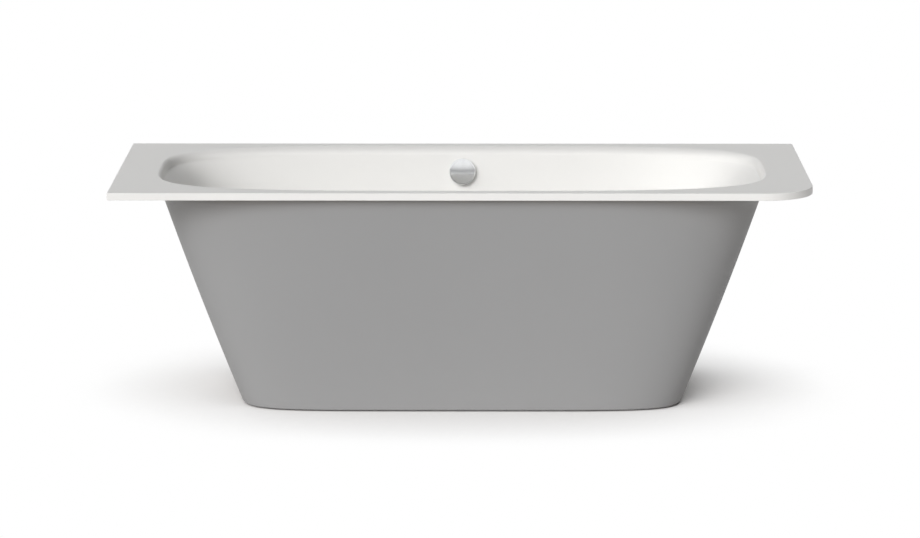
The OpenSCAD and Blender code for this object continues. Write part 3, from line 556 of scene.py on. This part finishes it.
def cut(piece, cutter):
    """Takes the cutter out of the piece, and deletes it."""
    change = piece.modifiers.new("cut", "BOOLEAN")
    change.operation = "DIFFERENCE"
    change.solver = "EXACT"
    change.object = cutter
    bpy.context.view_layer.update()
    seen = piece.evaluated_get(bpy.context.evaluated_depsgraph_get())
    piece.data = bpy.data.meshes.new_from_object(seen)
    piece.modifiers.clear()
    bpy.data.objects.remove(cutter)


def facing(origin, axis):
    """A frame at origin whose Z runs along axis and whose Y leans up."""
    z = axis.normalized()
    x = Vector((0, 0, 1)).cross(z).normalized()
    return Matrix.Translation(origin) @ Matrix((x, z.cross(x), z)).transposed().to_4x4()


KNOB_PLACE = facing(KNOB_AT, KNOB_AXIS)


def turned(name, profile, steps, at=Matrix.Identity(4)):
    """A turned piece: profile is (radius, height) from axis to axis, at is its place."""
    points, rings, faces = [], [], []
    for r, z in profile:
        rings.append(len(points))
        for i in range(steps if r > 0 else 1):
            turn = 2 * math.pi * i / steps
            points.append(at @ Vector((r * math.cos(turn), r * math.sin(turn), z)))
    for (r0, _), (r1, _), a, b in zip(profile, profile[1:], rings, rings[1:]):
        for i in range(steps):
            k = (i + 1) % steps
            corners = [a + (i if r0 else 0), a + (k if r0 else 0),
                       b + (k if r1 else 0), b + (i if r1 else 0)]
            faces.append(tuple(dict.fromkeys(corners)))
    return solid(name, points, faces)


def arc(cx, cz, r, first, last, steps):
    """Points of an arc in a turned profile, angles in degrees from +radius to +height."""
    return [(cx + r * math.cos(math.radians(t)), cz + r * math.sin(math.radians(t)))
            for t in spaced(first, last, steps)]


def dome(r, top, rise, steps):
    """Points of a turned profile inside radius r, up to the axis, on a parabola."""
    return [(r * t, top - rise * t ** 2) for t in spaced(1, 0, steps)[1:]]


def seated(piece, body, slot, materials, *nodes):
    """Rides the piece on its body in place of CAD nodes, with its finish."""
    for finish in materials:
        piece.data.materials.append(finish)
    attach(piece, body)
    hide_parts(*nodes)


class ShellRings:
    """The ring profiles of the shell: inset is 0 on the water side, the wall below."""
    # Steps of the rolled edge, the wall and the bottom rounding
    WATER_STEPS = (20, 56, 14)
    BACK_STEPS = (8, 24, 8)

    def __init__(self, form):
        self.form = form
        self.a = HALF_L - form.deck_end
        self.b = HALF_W - form.deck_side
        self.crease_a = self.a - form.roll_end
        self.crease_b = self.b - form.roll_side
        self.floor_z = TOP - form.basin_d

    def wall_b(self, drop):
        """Half width between the long walls, so far below the deck."""
        return self.crease_b - (drop - self.form.roll_h) * math.tan(self.form.wall_lean)

    def roll(self, inset, steps):
        """The rolled edge, from the deck down to the crease."""
        form = self.form
        return [(TOP - form.roll_h + (form.roll_h - inset) * math.cos(t),
                 self.a - (form.roll_end - inset) * math.sin(t),
                 self.b - (form.roll_side - inset) * math.sin(t), DECK_OVAL)
                for t in spaced(0, math.pi / 2, steps)]

    def wall(self, inset, steps):
        """Backrests on a curve that starts flat and steepens, straight long sides."""
        form = self.form
        # Drop of the curve's middle point and its run inward per drop
        rest_drop, top_run = 0.066, 1.53
        # How many walls the back of the crease lies further out
        crease_walls = 1.3
        z0 = TOP - form.roll_h
        z1 = z0 - rest_drop
        z2 = self.bottom(inset) + form.fillet_h
        a0 = self.crease_a + crease_walls * inset
        a1 = a0 - top_run * rest_drop
        a2 = form.end_foot + inset / math.cos(form.back_lean)
        rings = []
        for t in spaced(0, 1, steps)[1:-1]:
            p, q = (1 - t) ** 2, 2 * t * (1 - t)
            z = p * z0 + q * z1 + t * t * z2
            rings.append((z, p * a0 + q * a1 + t * t * a2,
                          self.wall_b(TOP - z) + inset / math.cos(form.wall_lean),
                          DECK_OVAL + (FLOOR_OVAL - DECK_OVAL) * t))
        return rings

    def bottom(self, inset):
        """Height where the rounding ends: above the waste by the fall, level on the back."""
        return self.floor_z - inset if inset else self.floor_z + self.form.fall

    def foot(self, inset, steps):
        """The bottom rounding, tangent to floor and walls."""
        form = self.form
        bottom = self.bottom(inset)
        top = bottom + form.fillet_h
        starts = []
        for lean, reach in ((form.back_lean, form.end_foot),
                            (form.wall_lean, self.wall_b(TOP - top))):
            r = form.fillet_h / (1 - math.sin(lean)) + inset
            rise = math.asin((bottom + r - top) / r)
            starts.append((reach + inset / math.cos(lean) - r * math.cos(rise), r))
        rings = []
        for t in spaced(0, math.pi / 2, steps):
            z = bottom + form.fillet_h * (1 - math.sin(t))
            a, b = (start + r * math.cos(math.asin(min(1, (bottom + r - z) / r)))
                    for start, r in starts)
            rings.append((z, a, b, FLOOR_OVAL))
        return rings

    def sides(self, inset, steps):
        """The rings of the rolled edge, of the wall and of the bottom rounding."""
        return [part(inset, count)
                for part, count in zip((self.roll, self.wall, self.foot), steps)]

    def water_side(self):
        """The visible side, from the deck down to the waste hole."""
        form = self.form
        roll, wall, foot = self.sides(0, self.WATER_STEPS)
        rings = softened(roll + wall, len(roll) - 1, before=3, after=1)
        # The flat ring round the seat, its rise, and the rounding of the seat's two edges
        ring_w, ring_rise = 0.008, 0.0002
        edge_h, edge_out, edge_in, draft = 0.0004, 0.0005, 0.002, 0.0012
        seat_z = self.floor_z - form.seat_d
        seat = ((self.floor_z + ring_rise, form.seat_r + ring_w),
                (self.floor_z, form.seat_r + edge_out),
                (self.floor_z - edge_h, form.seat_r),
                (seat_z + edge_h, form.seat_r - draft),
                (seat_z, form.seat_r - edge_in),
                (seat_z, form.waste_r))
        return rings + foot + [(z, r, r, CIRCLE) for z, r in seat]

    def back_side(self):
        """The hidden side, from the waste hole up to the deck."""
        form = self.form
        wide = form.seat_r + form.wall_t
        draft = 0.0015
        seat_z = self.floor_z - form.seat_d - form.wall_t
        seat = ((seat_z, form.waste_r), (seat_z, wide - draft), (self.floor_z - form.wall_t, wide))
        roll, wall, foot = self.sides(form.wall_t, self.BACK_STEPS)
        return [(z, r, r, CIRCLE) for z, r in seat] + (roll + wall + foot)[::-1]


class BATH_OT_shell(bpy.types.Operator):
    """Moulds the shell: deck, lip, rolled edge, basin and waste seat"""
    bl_idname = "bath.shell"
    bl_label = "Moulded shell"

    def execute(self, context):
        form = context.scene.bath_shell_form
        finishes = context.scene.bath_finishes
        shell = ShellRings(form)
        lip_z, corner = TOP - form.lip_h, form.corner_r
        # Radii of the deck's edge and of the lip's foot, and the flat ring round the basin
        edge, foot, rim = 0.002, 0.001, 0.0015
        # Distances, in radii, of the flat rings that border those roundings
        inward, up, down = 1.3, 2, 1.5
        outline = [deck(lip_z, form.wall_t, corner), deck(lip_z, foot * inward, corner)]
        outline += [deck(lip_z + foot * (1 - math.sin(t)), foot * (1 - math.cos(t)), corner)
                    for t in spaced(math.pi / 2, 0, steps=3)]
        outline += [deck(lip_z + up * foot, 0, corner), deck(TOP - down * edge, 0, corner)]
        outline += [deck(TOP - edge * (1 - math.sin(t)), edge * (1 - math.cos(t)), corner)
                    for t in spaced(0, math.pi / 2, steps=6)]
        outline += [deck(TOP, inward * edge, corner),
                    oval((TOP, shell.a + rim, shell.b + rim, DECK_OVAL))]
        water = [oval(ring) for ring in shell.water_side()]
        back = [oval(ring) for ring in shell.back_side()]
        under = [deck(TOP - form.wall_t, form.wall_t, corner)]
        piece = loft("acrylic_shell", outline + water + back + under)
        first_back = (len(outline) + len(water)) * len(COLUMNS)
        for face in piece.data.polygons:
            face.material_index = 1 if face.index >= first_back else 0
        reach = 0.03
        cutter = turned("overflow_cutter", [(0, -reach), (form.overflow_r, -reach),
                                            (form.overflow_r, reach), (0, reach)],
                        steps=96, at=KNOB_PLACE)
        seated(piece, "bath", "acrylic",
               [acrylic(finishes.acrylic), glass_fibre(finishes.backing)], "bath_shell")
        cut(piece, cutter)
        smooth(piece)
        return {"FINISHED"}


class BATH_OT_casing(bpy.types.Operator):
    """Moulds the tapered casing and cuts its pipe opening"""
    bl_idname = "bath.casing"
    bl_label = "Casing"

    def execute(self, context):
        form = context.scene.bath_casing_form
        shell_form = context.scene.bath_shell_form
        shell = ShellRings(shell_form)
        lip_z = TOP - shell_form.lip_h
        # Height of the neck, the drop from the lip to its widest place, the shell walls from
        # the crease to the casing's inside, and the flange's reach inside the basin's edge
        neck_h, lip_gap, crease_walls, flange_in = 0.033, 0.001, 2.8, 0.01
        # Distances of the first flat rings from the bottom edge, outside and inside
        outer_start, inner_start = 0.001, 0.002
        neck_z = lip_z - neck_h
        full_z = lip_z - lip_gap
        taper = (form.neck_l - form.foot_l) / (neck_z - form.gap)
        flare = (shell.crease_a + crease_walls * shell_form.wall_t + form.wall_t - form.neck_l
                 - taper * (full_z - neck_z))

        def ring(z, inset):
            share = (z - form.gap) / (neck_z - form.gap)
            rise = (z - form.gap) / (lip_z - form.gap)
            a = form.foot_l + (form.neck_l - form.foot_l) * share
            a += form.swell * 4 * share * max(0, 1 - share)
            if z > neck_z:
                a += flare * math.sin(math.pi / 2 * min(1, (z - neck_z) / (full_z - neck_z)))
            return (z, a - inset, form.foot_w + (form.top_w - form.foot_w) * rise - inset,
                    CASE_FOOT_OVAL + (CASE_TOP_OVAL - CASE_FOOT_OVAL) * rise)

        outer = [ring(form.gap, form.edge_r + outer_start)]
        outer += [ring(form.gap + form.edge_r * (1 - math.cos(t)), form.edge_r * (1 - math.sin(t)))
                  for t in spaced(0, math.pi / 2, steps=6)]
        outer += [ring(z, 0) for z in spaced(form.gap + form.edge_r, neck_z, steps=24)[1:]]
        outer += [ring(z, 0) for z in spaced(neck_z, full_z, steps=14)[1:]] + [ring(lip_z, 0)]
        flange = [(z, shell.crease_a + 2 * shell_form.wall_t, shell.b - flange_in, DECK_OVAL)
                  for z in (lip_z, lip_z - form.wall_t)]
        inner = [ring(z, form.wall_t) for z in spaced(neck_z, lip_z - form.wall_t, steps=8)[::-1]]
        inner += [ring(z, form.wall_t)
                  for z in spaced(form.gap + form.wall_t + inner_start, neck_z, steps=12)[-2::-1]]
        turned_in = [ring(z, form.edge_r + form.turn_in)
                     for z in (form.gap + form.wall_t, form.gap)]
        piece = loft("moulded_casing", [oval(r) for r in outer + flange + inner + turned_in])
        cutter = self.cutter(form)
        finish = matt_casing(context.scene.bath_finishes.casing)
        seated(piece, "bath", "casing", [finish], "casing")
        cut(piece, cutter)
        smooth(piece)
        return {"FINISHED"}

    @staticmethod
    def cutter(form):
        """A prism with two round upper corners, which runs through the back wall."""
        half, r = form.cutout_w / 2, form.cutout_r
        low, start_y = -0.01, 0.2
        outline = [(form.cutout_x + half, low)]
        for side, first in ((1, 0), (-1, 90)):
            outline += [(form.cutout_x + side * (half - r) + x, form.cutout_h - r + z)
                        for x, z in arc(0, 0, r, first, first + 90, steps=12)]
        outline.append((form.cutout_x - half, low))
        count = len(outline)
        points = [(x, y, z) for y in (start_y, HALF_W) for x, z in outline]
        faces = [tuple(range(count)), tuple(range(2 * count - 1, count - 1, -1))]
        faces += [(i, i + count, (i + 1) % count + count, (i + 1) % count) for i in range(count)]
        return solid("cutter", points, faces)


class BATH_OT_knob(bpy.types.Operator):
    """Turns the overflow knob, with its hollow back and hub"""
    bl_idname = "bath.knob"
    bl_label = "Overflow knob"

    def execute(self, context):
        form = context.scene.bath_fitting_form
        r, edge, crown = form.knob_r, form.knob_edge, form.knob_crown
        # Wall, radii of the back edge, the hub and its bore
        wall, back_r, hub_r, bore = 0.0025, 0.0006, 0.008, 0.00403
        # How far the hub lies inside the back edge, and its bore's end below the face
        hub_in, bore_end = 0.0015, 0.006
        base, top = form.knob_gap, form.knob_gap + form.knob_h
        hub_z, bore_z, roof = base + hub_in, top - bore_end, top - wall - crown
        inside = [(0, bore_z), (bore, bore_z), (bore, hub_z), (hub_r, hub_z),
                  (hub_r, roof), (r - edge, roof)]
        inside += arc(r - edge, roof - edge + wall, edge - wall, 90, 0, steps=6)
        inside += [(r - wall, base)]
        outside = [(r - back_r, base)] + arc(r - back_r, base + back_r, back_r, -90, 0, steps=3)
        outside += arc(r - edge, top - crown - edge, edge, 0, 90, steps=12)
        outside += dome(r - edge, top, crown, steps=16)
        piece = turned("overflow_knob_turned", inside + outside, steps=160, at=KNOB_PLACE)
        finish = chrome(context.scene.bath_finishes.chrome)
        seated(piece, "knob", "chrome", [finish], "overflow_knob")
        smooth(piece, degrees=35)
        return {"FINISHED"}


class BATH_OT_plug(bpy.types.Operator):
    """Turns the plug's domed cap"""
    bl_idname = "bath.plug"
    bl_label = "Plug cap"

    def execute(self, context):
        low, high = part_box("plug_cap")
        r = high.x
        # Height of the rim as a share, how far the seat lies inside it, and the edge's radius
        rim_share, seat_in, edge = 0.42, 0.0037, 0.0008
        # Heights above the rim of the edge's middle and of the dome's foot
        edge_up, dome_up = 0.0003, 0.001
        # Points of the flared skirt, in from the rim and down from it
        skirt = ((0.0015, 0.0012), (0.0003, 0.0004))
        rim_z = low.z + (high.z - low.z) * rim_share
        profile = [(0, low.z), (r - seat_in, low.z)]
        profile += [(r - inward, rim_z - down) for inward, down in skirt]
        profile += arc(r - edge, rim_z + edge_up, edge, -30, 70, steps=5)
        profile += dome(r - edge, high.z, high.z - rim_z - dome_up, steps=20)
        piece = turned("plug_cap_turned", profile, steps=128)
        finish = chrome(context.scene.bath_finishes.chrome)
        seated(piece, "plug", "chrome", [finish], "plug_cap")
        smooth(piece, degrees=35)
        return {"FINISHED"}


class BATH_OT_spindles(bpy.types.Operator):
    """Cuts the threads of the four foot spindles"""
    bl_idname = "bath.spindles"
    bl_label = "Foot spindles"

    def execute(self, context):
        form = context.scene.bath_fitting_form
        finish = zinc(context.scene.bath_finishes.zinc)
        # Height of the hexagon, and its bevel inward and along the spindle
        hex_h, bevel_in, bevel_h = 0.008, 0.0008, 0.0006
        for corner, body in (("front_left", "foot_fl"), ("front_right", "foot_fr"),
                             ("back_left", "foot_bl"), ("back_right", "foot_br")):
            low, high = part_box(corner + "_spindle")
            middle = (low + high) / 2
            _, pad_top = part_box(corner + "_pad")
            base, hex_r = pad_top.z, (high.x - low.x) / 2
            hex_top = base + hex_h
            rod = self.threaded(form, base, high.z)
            shank = [(0, low.z), (form.spindle_r, low.z), (form.spindle_r, base), (0, base)]
            hexagon = [(0, base), (hex_r - bevel_in, base), (hex_r, base + bevel_h),
                       (hex_r, hex_top - bevel_h), (hex_r - bevel_in, hex_top), (0, hex_top)]
            name = corner + "_threaded_spindle"
            piece = joined(name, [turned(name, shank, steps=32),
                                  turned(name, hexagon, steps=6), rod])
            piece.data.transform(Matrix.Translation((middle.x, middle.y, 0)))
            seated(piece, body, "zinc", [finish], corner + "_spindle")
            smooth(piece, degrees=40)
        return {"FINISHED"}

    @staticmethod
    def threaded(form, low, high):
        """A rod whose rows climb one pitch per turn, held level at both ends."""
        sides, crest = 28, form.spindle_r
        root, pitch = crest - form.thread_h, form.thread_pitch
        # The thread's section, as shares of a pitch and radii
        section = ((0.0, root), (0.14, root), (0.46, crest), (0.6, crest), (0.92, root))
        turns = int((high - low) / pitch) + 2
        rows = [(low + (turn + share) * pitch, r) for turn in range(-1, turns)
                for share, r in section]
        points = [(0, 0, low), (0, 0, high)]
        for z, r in rows:
            for i in range(sides + 1):
                climb = z + pitch * i / sides
                bound = min(max(climb, low), high)
                reach = r if climb == bound else root
                turn = 2 * math.pi * i / sides
                points.append((reach * math.cos(turn), reach * math.sin(turn), bound))
        wide = sides + 1
        faces = [(2 + j * wide + i, 2 + j * wide + i + 1, 2 + (j + 1) * wide + i + 1,
                  2 + (j + 1) * wide + i) for j in range(len(rows) - 1) for i in range(sides)]
        last = 2 + (len(rows) - 1) * wide
        faces += [(0, 2 + i + 1, 2 + i) for i in range(sides)]
        faces += [(1, last + i, last + i + 1) for i in range(sides)]
        return solid("thread", points, faces, weld=1e-6)


class BATH_OT_cable(bpy.types.Operator):
    """Bends the control cable's sheath along its clips to the waste"""
    bl_idname = "bath.cable"
    bl_label = "Cable sheath"

    # The route in mm: its place beside the knob and behind it, how far down the pipe its
    # clipped points lie, and the points from there to the waste
    BESIDE, BEHIND = -24, -25.2
    DOWN_THE_PIPE = (24, 60, 120, 180, 240, 300)
    TO_THE_WASTE = (
        (-27, 283, 176), (-33, 263, 147), (-43, 230, 132), (-54, 190, 127), (-64, 150, 125),
        (-72, 110, 125), (-77, 75, 126), (-78, 48, 127), (-75, 26, 128), (-67, 9, 128),
        (-57, 2, 128), (-50, 0, 128), (-44, 0, 128), (-38, 0, 128))

    def execute(self, context):
        form = context.scene.bath_fitting_form
        route = [KNOB_PLACE @ (Vector((self.BESIDE, -run, self.BEHIND)) * MM)
                 for run in self.DOWN_THE_PIPE]
        route += [Vector(point) * MM for point in self.TO_THE_WASTE]
        line = self.eased(route, steps=6)
        piece = self.tube("cable_sheath_bent", line, form.sheath_r, sides=16)
        finish = moulded("black_plastic", context.scene.bath_finishes.black, roughness=0.42)
        seated(piece, "bath", "sheath", [finish], "cable_sheath")
        smooth(piece, degrees=60)
        return {"FINISHED"}

    @staticmethod
    def eased(points, steps):
        """A smooth line through the points."""
        line = []
        for i in range(len(points) - 1):
            a, b = points[max(0, i - 1)], points[i]
            c, d = points[i + 1], points[min(len(points) - 1, i + 2)]
            for t in spaced(0, 1, steps)[:-1]:
                line.append(b + t * ((c - a) / 2 + t * (
                    a - 2.5 * b + 2 * c - d / 2 + t * ((3 * b - a - 3 * c + d) / 2))))
        return line + [points[-1]]

    @staticmethod
    def tube(name, line, r, sides):
        """An open tube along the line, whose sides keep their direction round the bends."""
        points, faces = [], []
        side = Vector((1, 0, 0))
        for i, here in enumerate(line):
            along = (line[min(i + 1, len(line) - 1)] - line[max(i - 1, 0)]).normalized()
            side = (side - along * side.dot(along)).normalized()
            other = along.cross(side)
            for k in range(sides):
                turn = 2 * math.pi * k / sides
                points.append(here + r * (math.cos(turn) * side + math.sin(turn) * other))
        for i in range(len(line) - 1):
            for k in range(sides):
                a, b = i * sides + k, i * sides + (k + 1) % sides
                faces.append((a, b, b + sides, a + sides))
        return solid(name, points, faces)


class BATH_OT_finishes(bpy.types.Operator):
    """Gives every carried-over node its finish"""
    bl_idname = "bath.finishes"
    bl_label = "Finishes"

    def execute(self, context):
        tints = context.scene.bath_finishes
        along_x, along_y = (0.05, 1, 1), (1, 0.05, 1)
        groups = (
            (softwood("softwood_long", tints.softwood, along_x), ("front_batten", "back_batten")),
            (softwood("softwood_end", tints.softwood, along_y), ("left_batten", "right_batten")),
            (chipboard(tints.board), ("base_board",)),
            (galvanised(tints.galvanised), ("left_leg_bar", "right_leg_bar")),
            (zinc(tints.zinc),
             ("casing_screws", "leg_screws", "foot_nuts", "knob_set_screw", "overflow_shaft",
              "overflow_screws", "cable_core", "plug_stem", "lift_lever", "lever_pin")),
            (chrome(tints.chrome), ("overflow_flange", "waste_flange")),
            (rubber(tints.rubber),
             ("overflow_gasket", "flange_gasket", "waste_gasket", "plug_seal")),
            (moulded("white_pipe", tints.pipe, roughness=0.36),
             ("overflow_body", "overflow_pipe", "link_pipe", "waste_body", "trap_body")),
            (moulded("white_fitting", tints.fitting, roughness=0.42),
             ("overflow_elbow", "overflow_nuts", "cable_clips", "trap_nut", "trap_cap",
              "outlet_nut")),
            (moulded("grey_drain", tints.drain, roughness=0.38), ("outlet_pipe",)),
            (moulded("foot_plastic", tints.black, roughness=0.5, grain=0.0001),
             ("front_left_pad", "front_right_pad", "back_left_pad", "back_right_pad")),
        )
        for finish, nodes in groups:
            for node in nodes:
                dress(node, finish)
        return {"FINISHED"}


class BATH_OT_stage(bpy.types.Operator):
    """Sets the floor, the lamps, the world and the camera"""
    bl_idname = "bath.stage"
    bl_label = "Stage"

    def execute(self, context):
        look = context.scene.bath_stage_look
        self.floor(look)
        self.world(context.scene, look)
        for name, strength, aside, height in LAMPS:
            self.lamp(name, getattr(look, strength), aside, height)
        self.camera(context.scene)
        context.scene.view_settings.view_transform = "Standard"
        return {"FINISHED"}

    @staticmethod
    def rays(net, kind):
        """1 for rays of that kind, 0 for all others."""
        return net.node("ShaderNodeLightPath", output=f"Is {kind} Ray")

    def floor(self, look):
        """A wide one-sided plane, white to the eye, with a soft painted shade where the bath
        stands: ambient occlusion fades the white into the lamp-lit floor with its real shadows.
        """
        half = 30
        mesh = bpy.data.meshes.new("studio_floor")
        mesh.from_pydata([(-half, -half, 0), (half, -half, 0), (half, half, 0), (-half, half, 0)],
                         [], [(0, 1, 2, 3)])
        plane = placed("studio_floor", mesh)
        finish = bpy.data.materials.new("pale_floor")
        net = Net(finish)
        lit = net.node("ShaderNodeBsdfDiffuse", None, {"Color": shade(look.floor, 1)})
        white = net.node("ShaderNodeEmission", None, {"Strength": 1.0})
        # Ambient occlusion paints the shade round the bath's foot, fading the white floor into the
        # lamp-lit one
        open_sky = net.node("ShaderNodeAmbientOcclusion", {"samples": 16},
                            {"Distance": look.painted_shade_reach}, 1)
        shown = net.mix(net.steps(open_sky, *PAINTED_FLOOR_SHADE), lit, white)
        seen = self.rays(net, "Camera") + self.rays(net, "Glossy") + self.rays(net, "Transmission")
        chosen = net.mix(seen, lit, shown)
        clear = net.node("ShaderNodeBsdfTransparent")
        below = net.node("ShaderNodeNewGeometry", output="Backfacing")
        net.node("ShaderNodeOutputMaterial", None, {"Surface": net.mix(below, chosen, clear)})
        mesh.materials.append(finish)

    def world(self, scene, look):
        """White to the eye, banded in reflections, even light to all other rays."""
        world = bpy.data.worlds.new("studio")
        scene.world = world
        net = Net(world)
        even, dim, white = (
            net.node("ShaderNodeBackground", None, {"Color": (1, 1, 1, 1), "Strength": strength})
            for strength in (look.sky, look.mirrored, 1.0))
        up = net.node("ShaderNodeSeparateXYZ", None,
                      {0: net.node("ShaderNodeTexCoord", output="Generated")}, 2)
        mirrored = net.mix(net.steps(up, *SKY_BAND), dim, white)
        unseen = net.mix(self.rays(net, "Glossy"), even, mirrored)
        seen = self.rays(net, "Camera") + self.rays(net, "Transmission")
        net.node("ShaderNodeOutputWorld", None, {"Surface": net.mix(seen, unseen, white)})

    @staticmethod
    def lamp(name, strength, aside, height):
        """A soft distant lamp, so many degrees to the right of the front and up."""
        lamp = bpy.data.lights.new(name, "SUN")
        lamp.energy = strength
        lamp.angle = math.radians(LAMP_SPREAD)
        stand = placed(name, lamp)
        stand.rotation_euler = (math.radians(90 - height), 0, math.radians(aside))
        stand.visible_glossy = False

    @staticmethod
    def camera(scene):
        """The photo's viewpoint, as fitted to the deck's corners."""
        pitch, yaw = math.radians(10.901), math.radians(0.216)
        focal_pixels, photo_width = 3963.0, 920
        aside, away, above = 0.0332, 10.2946, 1.7105
        camera = bpy.data.cameras.new("photo_view")
        camera.sensor_width = 36.0
        camera.lens = focal_pixels / photo_width * camera.sensor_width
        camera.clip_end = 100
        stand = placed("photo_view", camera)
        stand.location = (aside, -away, TOP + above)
        stand.rotation_euler = (math.pi / 2 - pitch, 0, yaw)
        scene.camera = stand


class BATH_PT_panel(bpy.types.Panel):
    """Lists the pieces of the bath"""
    bl_idname = "BATH_PT_panel"
    bl_label = "Bath"
    bl_space_type = "VIEW_3D"
    bl_region_type = "UI"
    bl_category = "Bath"

    def draw(self, context):
        for group, title, _ in GROUPS:
            box = self.layout.box()
            box.label(text=title)
            settings = getattr(context.scene, group)
            for name in settings.__annotations__:
                box.prop(settings, name)
        for operator in OPERATORS:
            self.layout.operator(operator.bl_idname)


GROUPS = (
    ("bath_shell_form", "Shell", ShellForm),
    ("bath_casing_form", "Casing", CasingForm),
    ("bath_fitting_form", "Fittings", FittingForm),
    ("bath_finishes", "Finishes", Finishes),
    ("bath_stage_look", "Stage", StageLook),
)
OPERATORS = (BATH_OT_stage, BATH_OT_cable, BATH_OT_shell, BATH_OT_casing, BATH_OT_knob,
             BATH_OT_plug, BATH_OT_spindles, BATH_OT_finishes)


def register():
    for name, _, group in GROUPS:
        bpy.utils.register_class(group)
        setattr(bpy.types.Scene, name, bpy.props.PointerProperty(type=group))
    for item in OPERATORS + (BATH_PT_panel,):
        bpy.utils.register_class(item)


def unregister():
    for item in (BATH_PT_panel,) + OPERATORS[::-1]:
        bpy.utils.unregister_class(item)
    for name, _, group in GROUPS[::-1]:
        delattr(bpy.types.Scene, name)
        bpy.utils.unregister_class(group)


def main():
    register()
    bpy.ops.bath.stage()
    bpy.ops.bath.cable()
    bpy.ops.bath.shell()
    bpy.ops.bath.casing()
    bpy.ops.bath.knob()
    bpy.ops.bath.plug()
    bpy.ops.bath.spindles()
    bpy.ops.bath.finishes()


if __name__ == "__main__":
    main()
